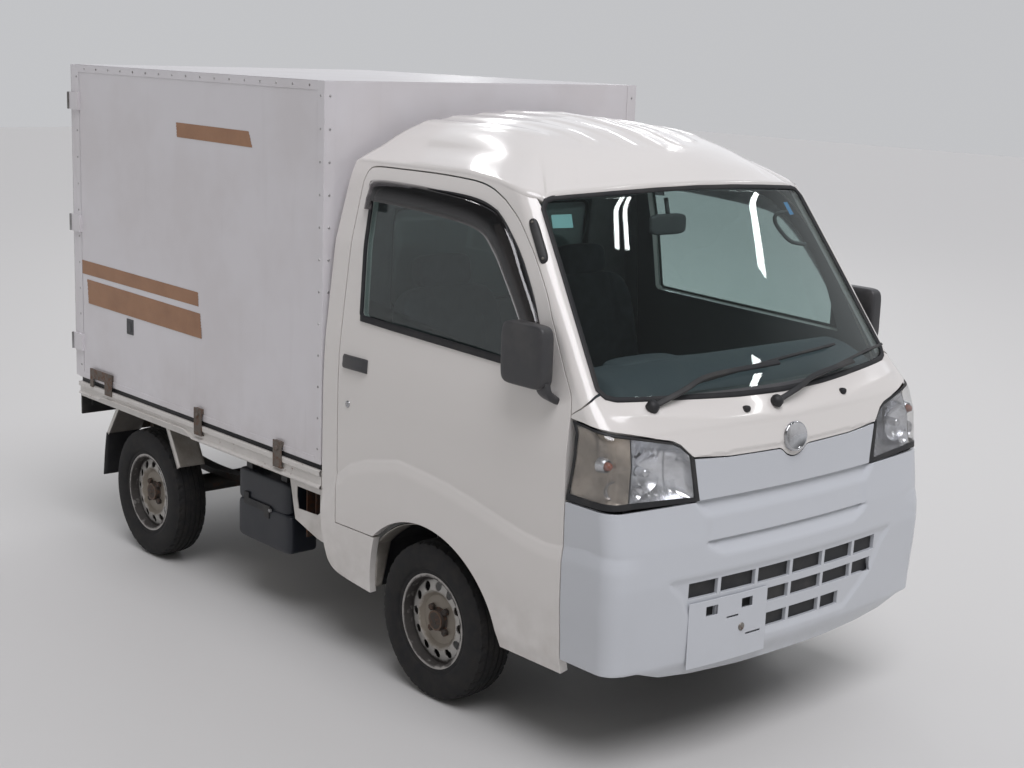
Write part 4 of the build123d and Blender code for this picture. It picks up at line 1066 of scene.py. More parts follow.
def makeHandle():
    x, z, halfX, halfZ = trim["handle"]
    p, q = np.meshgrid(np.linspace(-1, 1, 32), np.linspace(-1, 1, 20))
    # a squircle plate: height 13 (1 - (p^6 + q^6)), sinking to the door at its rim
    spread = np.maximum(np.abs(p), np.abs(q)) / np.maximum((p ** 6 + q ** 6) ** (1 / 6), 1e-6)
    px, qz = p * spread ** 0.5, q * spread ** 0.5
    edge = np.clip(1 - (np.abs(px) ** 6 + np.abs(qz) ** 6), 0, 1)
    flat = np.stack([x + halfX * px / spread ** 0.5, z + halfZ * qz / spread ** 0.5], -1)
    rise = -1 + 13 * edge ** 0.35 + 3 * edge * np.exp(-((q + 0.45) / 0.28) ** 2)
    return surface(onSkin(flat, rise))


def makeLock():
    x, z = trim["lock"]
    y = float(skinByX(np.array([x, z], float))[1])
    profile = [(0.1, y + 2), (4, y + 2), (5, y + 3.5), (10, y + 3.5), (12, y + 1.5), (12, y - 3)]
    return lathe(profile, (x, 0, z), "y", 28)


def makeMirror():
    shell = pillow(trim["mirror"], trim["mirrorHalf"], 0.30)
    arm = sweep(through([(1348, 712, 1118), (1350, 742, 1126), (1352, 764, 1146), (1350, 770, 1172)], 12),
                roundedBar(24, 11, 6), up=(0, 1, 0))
    return [shell, arm]


windowSeal = sweep(skinByX(glassEdge, 0.6), roundedBar(8, 3.4, 2), up=(0, 1, 0), closed=True)
beltSeal = sweep(skinByX(spaced([(386, 1216), (560, 1209), (1279, 1186)], 60), 3), roundedBar(3.5, 10, 3))
for hand in ("Left", "Right"):
    body = "door_" + hand.lower()
    piece("windowSeal" + hand, onSide(hand, [windowSeal]), blackRubber, body=body)
    piece("beltSeal" + hand, onSide(hand, [beltSeal]), blackRubber, body=body)
    piece("visor" + hand, onSide(hand, [makeVisor()]), smokedVisor, body=body, wall=2.2)
    piece("doorPull" + hand, onSide(hand, [makeHandle()]), handlePlastic,
          ("door_trim_" + hand.lower(),), body=body)
    piece("doorLock" + hand, onSide(hand, [makeLock()]), chrome, body=body)
    piece("mirrorHead" + hand, onSide(hand, makeMirror()), handlePlastic, body=body, sharp=40)

# nose trim: plain disc, washer nozzles, wipers
nose = dict(disc=(978, 46.5), nozzles=((-192, 1076), (277, 1076)), wiperPivots=((-533, 1104), (-59, 1083)),
            wiperBends=((-296, 1168), (145, 1132)),
            blades=(((-330, 1160), (331, 1205)), ((120, 1124), (650, 1168))))


def onNose(y, z, out=0.0):
    # a point of the front at this y, either side
    point = skinByY(np.array([abs(y), z], float), out)
    return point * (1, -1 if y < 0 else 1, 1)


def makeDisc():
    z, radius = nose["disc"]
    x = onNose(0, z)[0]
    points, faces = lathe([(radius, -7), (radius, 3), (radius - 3, 6), (radius - 7, 6), (radius - 9, 3.5),
                           (0.1, 5)][::-1], (0, 0, 0), "x", 56)
    c, s = math.cos(math.radians(10)), math.sin(math.radians(10))
    lean = np.array([[c, 0, -s], [0, 1, 0], [s, 0, c]])
    return points * (1, 1.14, 1) @ lean.T + (x + 2, 0, z), faces


def makeWiper(pivot, bend, blade):
    # the arm, the blade's edge, its spine and the pivot's cap, each by its distance from the glass
    base = onNose(*pivot, 6)
    arm = through([base, onNose(*(np.array(pivot) * 0.5 + np.array(bend) * 0.5), 26), onNose(*bend, 26),
                   onNose(*(np.array(blade[0]) * 0.5 + np.array(blade[1]) * 0.5), 22)], 26)
    ends = np.linspace(0, 1, 30)[:, None]
    line = np.array(blade[0]) * (1 - ends) + np.array(blade[1]) * ends
    line[:, 1] += 10 * np.sin(np.pi * ends[:, 0])
    edge = np.array([onNose(y, z, 9) for y, z in line])
    spine = np.array([onNose(y, z, 16) for y, z in line])
    cap = lathe([(0.1, 21), (9, 20.5), (16, 16), (20, 8), (20, -5)], (0, 0, 0), "z", 28)
    tilt = np.array([[0.80, 0, 0.6], [0, 1, 0], [-0.6, 0, 0.80]])
    cap = (cap[0] @ tilt.T + base, cap[1])
    return [*[sweep(line, roundedBar(*size), up=(0.6, 0, 0.8)) for line, size in
              ((arm, (8.5, 4.5, 2.5)), (edge, (2, 7, 1.5)), (spine, (5, 2.5, 2)))], cap]


piece("noseDisc", [makeDisc()], chrome)
for hand, *lines in zip(("Right", "Left"), nose["wiperPivots"], nose["wiperBends"], nose["blades"]):
    piece("wiper" + hand, makeWiper(*lines), blackPlastic, sharp=35)
nozzles = [pillow(onNose(*spot, 1), (11, 13, 10), 0.7, 14, 24) for spot in nose["nozzles"]]
piece("screenNozzles", nozzles, blackRubber)


def makePillarStrip():
    # a flat capsule up the right-hand pillar, with the width w (1 - q^8)^(1/2) along its length
    low, high = np.array([1222.0, 1497.0]), np.array([1134.0, 1622.0])
    way = high - low
    cross = np.array([way[1], -way[0]]) / np.linalg.norm(way)
    p, q = np.meshgrid(np.linspace(-1, 1, 13), np.linspace(-1, 1, 40))
    wide = 10.5 * np.sqrt(np.clip(1 - q ** 8, 0, 1))
    flat = (low + high) / 2 + q[..., None] * way / 2 + (p * wide)[..., None] * cross
    rise = -1 + 8 * (1 - p ** 6) * np.sqrt(np.clip(1 - q ** 8, 0, 1))
    return surface(onSkin(flat, rise)), low, high


strip, stripLow, stripHigh = makePillarStrip()
screws = [pillow(skinByX(stripLow + (stripHigh - stripLow) * t, 7), (4.5, 4.5, 4.5), 0.9, 10, 16)
          for t in (0.1, 0.9)]
piece("pillarStrip", [mirrored(strip)], blackPlastic)
piece("pillarScrews", [mirrored(s) for s in screws], rawSteel)

# blank plate bracket on the bumper: columns of y, rows of z, cells of the slots left out
bracket = dict(y=(-446, -377, -329, -290, -239, -227, -203, -179, -137, -112),
               z=(318, 384, 390, 452, 458, 474, 504, 524),
               holes=((-377, -329, 474, 504), (-227, -179, 474, 504), (-290, -239, 452, 458),
                      (-203, -137, 384, 390)), face=1694.0)


def makeBracket():
    y, z = np.meshgrid(fillIn(bracket["y"], 14), fillIn(bracket["z"], 14))
    middleY, middleZ = (y[:-1, :-1] + y[1:, 1:]) / 2, (z[:-1, :-1] + z[1:, 1:]) / 2
    keep = np.ones_like(middleY, bool)
    for y0, y1, z0, z1 in bracket["holes"]:
        keep &= ~((middleY > y0) & (middleY < y1) & (middleZ > z0) & (middleZ < z1))
    x = np.full_like(y, bracket["face"]) - 0.00016 * (y + 116) ** 2
    return surface(np.stack([x, y, z], -1), keep=keep)


piece("plateBracket", [makeBracket()], bumperShadedPaint, wall=3.0, bevel=0.8)
screwHead = lathe([(0.1, 1696.5), (9, 1696), (13, 1693.5), (13, 1688)], (0, -224, 414), "x", 24)
piece("plateScrew", [screwHead], rawSteel)

# inside of each door, drawn on the right: armrest, window crank, lever, speaker and pocket
doorInside = dict(face=-692.0, arm=(560, 900, 862), crank=(520, 800), lever=(1010, 985),
                  speaker=(1010, 660, 78), pocket=(580, 930, 700))


def makeDoorInside():
    face = doorInside["face"]
    x0, x1, z = doorInside["arm"]
    armrest = sweep(through([(x0, face + 6, z), (x0 + 20, face + 32, z + 2), (x0 + 120, face + 40, z + 4),
                             (x1 - 60, face + 38, z + 24), (x1, face + 6, z + 52)], 40),
                    roundedBar(24, 18, 10))
    cx, cz = doorInside["crank"]
    crank = [lathe([(0.1, face + 22), (16, face + 21), (20, face + 16), (22, face - 2)], (cx, 0, cz), "y", 32),
             sweep(through([(cx, face + 20, cz), (cx + 50, face + 26, cz - 30),
                            (cx + 96, face + 30, cz - 58)], 20), roundedBar(9, 5, 3), up=(0, 1, 0)),
             lathe([(0.1, face + 52), (10, face + 51), (12, face + 44), (9, face + 28)],
                   (cx + 96, 0, cz - 58), "y", 24)]
    lx, lz = doorInside["lever"]
    cup = lathe([(0.1, face + 1), (30, face + 1), (40, face + 4), (44, face + 2), (45, face - 2)],
                (lx, 0, lz), "y", 40)
    pull = sweep(through([(lx + 26, face + 6, lz), (lx, face + 12, lz + 2), (lx - 30, face + 9, lz + 3)], 16),
                 roundedBar(10, 4, 3), up=(0, 1, 0))
    sx, sz, size = doorInside["speaker"]
    rings = [lathe([(r - 5, face), (r - 3, face + 5), (r, face + 5), (r + 1, face)], (sx, 0, sz), "y", 64)
             for r in range(size, size - 70, -10)]
    px0, px1, pz = doorInside["pocket"]
    pocket = sweep(through([(px0, face, pz), (px0 + 30, face + 30, pz), (px1 - 30, face + 30, pz),
                            (px1, face, pz)], 40), roundedBar(5, 46, 4))
    return [armrest, cup, pull] + crank + rings + [pocket]


for hand in ("Right", "Left"):
    piece("doorInside" + hand, onSide(hand, makeDoorInside(), "Right"), handlePlastic,
          body="door_" + hand.lower(), sharp=35)

# behind the screen: mirror, grab handle, small films
piece("cabinMirror", [pillow((1196, -120, 1588), (12, 80, 33), 0.45),
                      rod((1196, -120, 1618), (1176, -112, 1668), 7)], greyPlastic)
grip = through([(1208, 454, 1606), (1180, 430, 1596), (1174, 432, 1570), (1184, 460, 1532), (1204, 490, 1502),
                (1240, 524, 1494)], 30)
piece("grabHandle", [sweep(grip, circle(7, 12), up=(1, 0, 0))], greyPlastic)


def film(corners, out):
    # a flat sheet behind the glass, its corners going round from the top
    a, b, c, d = (np.array(k, float) for k in corners)
    t = np.linspace(0, 1, 5)[:, None]
    top, low = a + (b - a) * t, d + (c - d) * t
    flat = between(top, low, 5)
    return surface(np.array([[onNose(y, z, out) for y, z in row] for row in flat]), flip=True)


piece("tealFilm", [film(((-580, 1636), (-514, 1638), (-527, 1600), (-592, 1599)), -9)], tealLabel)
piece("blueFilm", [film(((462, 1640), (492, 1640), (500, 1600), (470, 1600)), -9)], blueLabel)
print("trim done")

# wheels: tyres with ribs and cut shoulders, discs, nuts and hub caps
tyre = dict(
    radius=266.0, turns=216, grooves=(-34, -11.5, 11.5, 34), grooveHalf=3.0, grooveDepth=6.0,
    notchEvery=36, notchDepth=4.0,
    # half section from the bead over the sidewall to the shoulder: radius and distance from the middle
    side=((152.7, 47), (152.7, 54), (158, 58.5), (167, 60.5), (174, 61), (176, 64), (184, 68.5), (199, 71.5),
          (216, 72.5), (232, 71), (244, 67.5), (252, 64)),
    crown=60.5, wheels=(("front_right", frontAxleX, -652.5), ("front_left", frontAxleX, 652.5),
                        ("rear_right", rearAxleX, -650), ("rear_left", rearAxleX, 650)))


def makeTyre(x, y):
    wall = through(tyre["side"], 34)
    across = np.linspace(tyre["crown"], -tyre["crown"], 66)
    treadRadius = tyre["radius"] - 7.5 * (across / tyre["crown"]) ** 2
    tread = np.stack([treadRadius, across], -1)
    section = np.concatenate([wall, tread, (wall * (1, -1))[::-1]])
    turn = np.linspace(0, 2 * np.pi, tyre["turns"], endpoint=False)[None]
    radius, offset = section[:, :1], section[:, 1:]
    groove = np.zeros_like(offset)
    for middle in tyre["grooves"]:
        groove = np.maximum(groove, soften((tyre["grooveHalf"] + 1.2 - np.abs(offset - middle)) / 1.6))
    onTread = soften((radius - 250) / 6)
    # notches across the shoulders: a wave round the tyre, cut where |offset| is past the outer groove
    wave = np.cos(tyre["notchEvery"] * turn + 0.05 * offset)
    notch = soften((wave - 0.72) / 0.12) * soften((np.abs(offset) - 39) / 3)
    fine = 0.5 * soften((np.cos(2 * tyre["notchEvery"] * turn + 0.09 * offset) - 0.9) / 0.06)
    fine = fine * (np.abs(offset) < 39)
    depth = onTread * np.maximum(groove * tyre["grooveDepth"], (notch + fine) * tyre["notchDepth"])
    reach = radius - depth
    points = np.stack([x + reach * np.sin(turn), y + np.broadcast_to(offset, reach.shape),
                       axleZ + reach * np.cos(turn)], -1)
    bead, half = tyre["side"][0]
    rim = np.stack([x + bead * np.sin(turn[0]), np.full(tyre["turns"], y - half),
                    axleZ + bead * np.cos(turn[0])], -1)
    bore = surface(np.stack([rim, rim + (0, 2 * half, 0)]), closed=True, flip=True)
    return [surface(points, closed=True), bore]


wheel = dict(windows=12, windowCircle=117.0, drawn=12.6, windowRadius=16.0, face=24.0, nutCircle=50.0,
             nut=(12.5, 15.0), cap=35.5, capRise=24.0)


def makeNuts(x, y, out):
    # four hexagon nuts on the disc's face; out is 1 or -1, away from the truck
    made = []
    face = y + out * wheel["face"]
    size, rise = wheel["nut"]
    for k in range(4):
        turn = math.radians(45 + 90 * k)
        centre = (x + wheel["nutCircle"] * math.cos(turn), 0, axleZ + wheel["nutCircle"] * math.sin(turn))
        profile = [(0.1, face + out * (rise - 3)), (5, face + out * (rise - 1)), (size - 3, face + out * rise),
                   (size, face + out * (rise - 4)), (size, face - out * 1)]
        made.append(lathe(profile, centre, "y", 6))
    return made


def makeWheel(node, x):
    # a copy of the wheel's solid with its windows drawn out from 12 to 16 mm: each point on a window's
    # edge moves away from the window's middle
    mesh = node.data
    points = np.empty(len(mesh.vertices) * 3)
    mesh.vertices.foreach_get("co", points)
    points = points.reshape(-1, 3) / mm
    flat = points[:, ::2] - (x, axleZ)
    for k in range(wheel["windows"]):
        turn = math.radians(k * 360 / wheel["windows"])
        middle = wheel["windowCircle"] * np.array([math.cos(turn), math.sin(turn)])
        away = flat - middle
        distance = np.linalg.norm(away, axis=1)
        near = (distance > 1) & (distance < wheel["drawn"])
        flat[near] = middle + away[near] * wheel["windowRadius"] / distance[near][:, None]
    points[:, ::2] = flat + (x, axleZ)
    faces = np.empty(len(mesh.loops), int)
    mesh.loops.foreach_get("vertex_index", faces)
    return points, faces.reshape(-1, 3)


def makeHubCap(x, y, out):
    face = y + out * wheel["face"]
    size, rise = wheel["cap"], wheel["capRise"]
    profile = [(0.1, face + out * (rise + 2)), (9, face + out * (rise + 2)), (11, face + out * (rise - 1)),
               (24, face + out * (rise - 1)), (size - 3, face + out * (rise - 3)),
               (size, face + out * (rise - 8)), (size, face + out * 4), (size + 6, face + out * 0.5)]
    return lathe(profile, (x, 0, axleZ), "y", 48)


for place, x, y in tyre["wheels"]:
    body = "wheel_" + place
    piece("tyreTread_" + place, makeTyre(x, y), tyreRubber, ("tyre_" + place,), body=body, sharp=35)
    out = 1 if y > 0 else -1
    piece("wheelDisc_" + place, [makeWheel(nodes["rim_" + place], x)], wheelSilver,
          ("rim_" + place,), body=body, solid=True, sharp=30)
    piece("wheelNuts_" + place, makeNuts(x, y, out), hubIron, body=body, solid=True, sharp=30)
    piece("hubCap_" + place, [makeHubCap(x, y, out)], hubIron, body=body, solid=True, sharp=40)
print("wheels done")

# box: tape, corner strips and rivets, clamps, latch
box = dict(
    side=735.0, rivet=4.5,
    # corners of each tape strip (x, z): front top, rear top, rear foot, front foot
    tapes=(((-296, 1794), (-812, 1797), (-806, 1742), (-272, 1738)),
           ((-655, 1164), (-1624, 1176), (-1618, 1118), (-652, 1110)),
           ((-640, 1084), (-1570, 1098), (-1562, 1034), (-634, 1028)),
           ((-632, 1030), (-1562, 1040), (-1560, 996), (-628, 988))),
    clamps=((-82, 607, 703, 27), (-642, 613, 716, 27)), bigClamp=(-1535, -1345, 628, 722),
    latch=(-1196, 949, 27, 32))


def upright(flat, y):
    # (x, z) points stood at one y
    return np.stack([flat[..., 0], np.broadcast_to(y, flat.shape[:-1]), flat[..., 1]], -1)


def makeTape(corners, lift):
    # a thin sheet with faintly ragged ends and wrinkles: lift + 0.25 sin of both directions
    a, b, c, d = (np.array(k, float) for k in corners)
    t = np.linspace(0, 1, 90)[:, None]
    flat = between(a + (b - a) * t, d + (c - d) * t, 14)
    wave = 2.2 * np.sin(flat[..., 1] * 0.9 + 0.6 * np.sin(flat[..., 1] * 0.37))
    ends = np.zeros_like(wave)
    ends[:, 0], ends[:, -1] = wave[:, 0], wave[:, -1]
    y = -(box["side"] + lift + 0.25 * np.sin(flat[..., 0] / 23) * np.sin(flat[..., 1] / 9))
    flat[..., 0] += ends
    return surface(upright(flat, y))


for i, corners in enumerate(box["tapes"]):
    piece(f"tapeStrip{i + 1}", [makeTape(corners, 0.9 + 0.5 * (i == 3))], brownTape)


def rivets(points, axis, sign):
    # round heads on a sheet that faces along the axis: radius and height above the sheet
    head = ((0.1, 2.6), (box["rivet"] * 0.6, 2.1), (box["rivet"], 0.4), (box["rivet"], -1))
    made = []
    for x, y, z in points:
        sheet, centre = (y, (x, 0, z)) if axis == "y" else (x, (0, y, z))
        profile = [(radius, sheet + sign * height) for radius, height in head]
        made.append(lathe(profile[::sign], centre, axis, 12))
    return made


heights = np.linspace(720, 1940, 12)
posts, rows = [], []
for sign in (-1, 1):
    wall = sign * box["side"]
    face = wall + sign * 1.8
    posts += [block(138, 178, wall, face, 668, 1988), block(176, 178.2, wall, wall - sign * 46, 668, 1988),
              block(-1652, -1612, wall, face, 668, 1988), block(-1612, 138, wall, face, 1958, 1988),
              block(-1612, 138, wall, wall + sign * 2.4, 668, 690)]
    rows += rivets([(157, face, z) for z in heights], "y", sign)
    rows += rivets([(-1632, face, z) for z in heights], "y", sign)
    rows += rivets([(178.2, wall - sign * 22, z) for z in heights], "x", 1)
    rows += rivets([(x, face, 1973) for x in np.linspace(-1560, 90, 17)], "y", sign)
piece("boxEdges", posts, boxPaint, bevel=0.7)
piece("boxRivets", rows, aluminium)
print("box trim done")


def makeClamp(x, z0, z1, half):
    y = -box["side"]
    plate = slab((x - half, y - 15, z0), (x + half, y - 9.5, z1))
    lip = slab((x - half, y - 14.5, z0 - 5), (x + half, y + 25, z0 + 0.5))
    bolt = lathe([(0.1, y - 23), (9, y - 22), (10, y - 20), (10, y - 14)], (x, 0, z1 - 28), "y", 6)
    foot = slab((x - half + 2, y - 10, z1 - 22), (x + half - 2, y + 1, z1 - 2))
    return [plate, lip, bolt, foot]


clampParts = []
for x, z0, z1, half in box["clamps"]:
    clampParts += makeClamp(x, z0, z1, half)
x0, x1, z0, z1 = box["bigClamp"]
clampParts += [slab((x0, -749, z1 - 42), (x1, -743, z1)),
               slab((x1 - 60, -749.6, z0), (x1 - 1, -743.6, z1 - 40)),
               slab((x0 + 1, -749.6, z1 - 80), (x0 + 27, -743.6, z1 - 40)),
               slab((x0 + 4, -744, z1 - 30), (x1 - 4, -734, z1 - 4))]
piece("boxClamps", bothSides(clampParts), rustySteel, bevel=1.5, solid=True, sharp=35)
latchX, latchZ, halfX, halfZ = box["latch"]
latch = [slab((latchX - halfX, -738.5, latchZ - halfZ), (latchX + halfX, -734, latchZ + halfZ)),
         slab((latchX - 15, -742, latchZ - 20), (latchX + 13, -737, latchZ + 18))]
piece("boxLatch", latch, greyPlastic, bevel=2)
# a black strip in the gap between the box and the bed rail: painted shadow of the gap
piece("bedGap", bothSides([slab((-1640, -731, 641), (174, -726, 668))]), blackRubber)


def makeRail():
    # the bed rail's folded edge, stepped over the rear wheel: a (y, z) section carried along x
    xs = fillIn((-1650, -1480, -1450, -1380, -1350, 182), 60)
    section = np.array([(-731, 646), (-741, 646), (-744, 643), (-744, 628), (-741, 625), (-736, 624),
                        (-736, 596), (-741, 592), (-744, 588), (-744, 582), (-741, 579), (-728, 579),
                        (-728, 584), (-732, 588), (-732, 640)], float)
    rise = np.interp(xs, (-1650, -1480, -1440, -760, -720, 182), (12, 12, 26, 26, 0, -2))
    shallow = np.clip((620 - section[:, 1]) / 40, 0, 1)
    z = section[None, :, 1] + rise[:, None] * shallow[None]
    points = np.stack(np.broadcast_arrays(xs[:, None], section[None, :, 0], z), -1)
    return surface(points, closed=True, flip=True)


piece("bedRailEdge", bothSides([makeRail()]), bedPaint, solid=True, sharp=30)

bed = dict(back=-1650.0, front=180.0, half=735.0, bars=(150, -300, -700, -1250, -1600), barReach=640.0,
           ribPitch=92.0)


def makeBedFloor():
    # the floor sheet seen from below: z = 630 - 9 (1 + tanh(6 sin(2 pi x / pitch))) / 2 makes its ribs
    reach = bed["half"] - 3
    x, y = np.linspace(bed["back"], bed["front"], 400)[:, None], np.linspace(-reach, reach, 3)
    z = 630 - 9 * (1 + np.tanh(6 * np.sin(2 * np.pi * x / bed["ribPitch"]))) / 2
    return surface(np.stack(np.broadcast_arrays(x, y, z), -1))


railParts = [slab((bed["back"], -733, 580), (bed["front"], -729, 645)),
             slab((bed["back"], -731, 578.5), (bed["front"], -692, 582)),
             slab((bed["back"], -731, 640.5), (bed["front"], -692, 645))]
barParts = []
for x in bed["bars"]:
    ends = (-bed["barReach"], bed["barReach"])
    barParts += [block(x - 30, x + 30, *ends, 571, 575), block(x - 30, x - 26, *ends, 573, 624),
                 block(x + 26, x + 30, *ends, 573, 624)]
endParts = [slab((bed["back"] - 1, -729, 580), (bed["back"] + 3, 729, 644)),
            slab((177, -729, 590), (181, 729, 644))]
piece("bedSheet", [makeBedFloor()], bedPaint, ("bed",), wall=2)
piece("bedRails", bothSides(railParts), bedPaint, bevel=1.2, solid=True)
beamParts = [slab((-1640, -438, 526), (170, -434, 612)), slab((-1640, -436, 524), (170, -412, 528)),
             slab((-1030, -440, 446), (-452, -436, 540)), slab((-1030, -438, 444), (-452, -414, 448))]
piece("bedBeams", bothSides(beamParts), dirtyPaint, bevel=1.2, solid=True)
piece("bedBars", barParts + endParts, bedPaint, bevel=1.5, solid=True)

# fuel tank under the right rail with its strap, and the battery's box under the left one
tank = dict(x=(-452, -84), y=(-690, -560), z=(252, 522),
            batteryX=(-560, -200), batteryY=(430, 690), batteryZ=(290, 520))


def roundedBox(low, high, radius):
    # a superellipsoid that fills the box, its power chosen for about this corner radius
    low, high = np.array(low, float), np.array(high, float)
    half = (high - low) / 2
    return pillow((low + high) / 2, half, max(0.06, 1.6 * radius / half.min()), 40, 88)


x0, x1 = tank["x"]
y0, y1 = tank["y"]
z0, z1 = tank["z"]
shells = [roundedBox((x0, y0 + 3, 396), (x1 - 14, y1, z1), 9), roundedBox((x0 + 4, y0, z0), (x1, y1, 406), 8)]
piece("fuelTank", shells, tankPlastic, ("tanks",), sharp=40)
front, inner = (y0 - 4, y0 + 1), (y0 + 20, y1 - 20)
strapParts = [block(x0 + 60, x1 - 130, *front, 388, 414), block(x0 + 60, x0 + 92, *front, 414, 436),
              block(x1 - 168, x1 - 136, *front, 366, 390), block(x0 + 40, x0 + 80, *inner, 516, 580),
              block(x1 - 90, x1 - 50, *inner, 516, 580)]
piece("tankStraps", strapParts, blackPlastic, bevel=1.2, solid=True, sharp=35)
strapBolt = lathe([(0.1, y0 - 9), (6, y0 - 8), (7, y0 - 6), (7, y0 + 1)], (x1 - 128, 0, 400), "y", 16)
piece("tankBolt", [strapBolt], galvanised, solid=True)
(x0, x1), (y0, y1), (z0, z1) = tank["batteryX"], tank["batteryY"], tank["batteryZ"]
shells = [roundedBox((x0, y0, z0), (x1, y1, z1 - 30), 12),
          roundedBox((x0 - 6, y0 - 4, z1 - 40), (x1 + 6, y1 + 4, z1), 10)]
piece("batteryBox", shells, tankPlastic, sharp=40)
hangers = [slab((-412, 500, 512), (-372, 640, 580)), slab((-300, 500, 512), (-260, 640, 580)),
           slab((x0 + 60, y1 - 1, z0 + 10), (x0 + 84, y1 + 3, z1 + 8))]
piece("batteryHanger", hangers, frameSteel, bevel=1.2, solid=True)
hangers = [slab((-52, -640, 330), (-44, -440, 578)), slab((6, -640, 372), (14, -440, 578))]
piece("frontHanger", hangers, rustedFrame, bevel=1.2, solid=True)


def plateWithHole(outer, hole, y):
    # a flat bracket, from its opening's corners out to its own
    return surface(upright(between(np.array(hole, float), np.array(outer, float), 3), y), closed=True)


bracketEdge = ((176, 578), (176, 366), (112, 374), (-30, 414), (-66, 560), (-66, 578))
bracketHole = ((128, 540), (128, 474), (112, 462), (-10, 458), (-20, 500), (-20, 540))
piece("sideBracket", bothSides([plateWithHole(bracketEdge, bracketHole, -702)]), bedPaint,
      wall=4, bevel=1)
# mudguards of the rear wheel: a sloped plate ahead, a plate and a rubber flap behind, and turned white edges
mudguard = dict(ahead=((-936, 577), (-849, 427)), behind=((-1355, 577), (-1448, 449)),
                flap=((-1452, 452), (-1484, 262)), out=-713.0, reach=(-596.0, -560.0))


def slope(ends):
    # even steps between two (x, z) points, and the direction square to them
    (x0, z0), (x1, z1) = ends
    across = np.array([z1 - z0, x0 - x1], float)
    return spaced(ends, 16), across / np.linalg.norm(across)


def makePlate(ends, y0, y1, bow=0.0):
    # a plate between two sides, bowed along its length by bow sin(pi t)
    run, across = slope(ends)
    run = run + bow * np.sin(np.pi * np.linspace(0, 1, len(run)))[:, None] * across
    return surface(np.stack(np.broadcast_arrays(run[:, :1], np.linspace(y0, y1, 10), run[:, 1:]), -1))


def makeFlange(ends, width, y):
    # the turned edge of a plate: a narrow strip square to it
    run, across = slope(ends)
    return surface(upright(np.stack([run - width / 2 * across, run + width / 2 * across]), y))


guard = makePlate(mudguard["ahead"], mudguard["out"], mudguard["reach"][0])
piece("mudguardAhead", bothSides([guard]), dirtyPaint, ("guards",), wall=2.0)
guard = makePlate(mudguard["behind"], mudguard["out"], mudguard["reach"][1])
piece("mudguardBehind", bothSides([guard]), mudPaint, wall=2.0)
edges = [makeFlange(mudguard[k], width, mudguard["out"]) for k, width in (("ahead", 26), ("behind", 16))]
piece("mudguardEdges", bothSides(edges), bedPaint, wall=2.0)
guard = makePlate(mudguard["flap"], mudguard["out"] - 6, mudguard["reach"][1] - 4, 3)
piece("mudFlap", bothSides([guard]), blackRubber, wall=5)


# front wheel arches: a light return behind the cab's edge, a dark liner over the tyre and a plate inside
def archLine(radius, first=466.0, last=1126.0, foot=296.0):
    # up the rear edge, then round the circle to the front: (x, z)
    turn0 = math.acos((first - arch["x"]) / radius)
    turn1 = math.acos((last - arch["x"]) / radius)
    turn = np.linspace(turn0, turn1, 70)
    arc = np.stack([arch["x"] + radius * np.cos(turn), arch["z"] + radius * np.sin(turn)], -1)
    return chain(spaced([(first, foot), tuple(arc[0])], 14), arc)


def acrossArch(line, y0, y1):
    # an (x, z) line carried from one y to another
    return surface(between(upright(line, y0), upright(line, y1), 8))


returnLine = archLine(389.5, first=470.0, last=690.0)
returnDepth = np.interp(returnLine[:, 1], (300, 345, 515), (-680, -668, -628))
piece("archReturn", bothSides([acrossArch(returnLine, -706, returnDepth)]), dirtyPaint,
      wall=3)
liner = acrossArch(archLine(393.0), -700, -438)
inner = archLine(393.0, foot=345.0)
floorLine = np.stack([inner[:, 0], np.full(len(inner), 345.0)], -1)
apron = surface(upright(between(floorLine, np.maximum(inner, (-9999, 345.0)), 8), -434.0))
piece("wheelHouse", bothSides([liner, apron]), blackPlastic, wall=3)
print("bed trim done")

# rear: doors with aluminium edges, lock rods and hinges, lamps, plate carrier and bar
back = dict(face=-1686.0, inner=-1658.0, low=666.0, high=1989.0, rodY=-90.0, rodX=-1689.8, rod=7.2,
            keepers=(725, 1930), hinges=(820, 1330, 1840),
            lampY=(-730, -540), lampZ=(497, 592), lampX=(-1680, -1652))


def rodPart(radius, x, y, z0, z1):
    return lathe([(0.1, z0), (radius, z0 + 1), (radius, z1 - 1), (0.1, z1)], (x, y, 0), "z", 18)


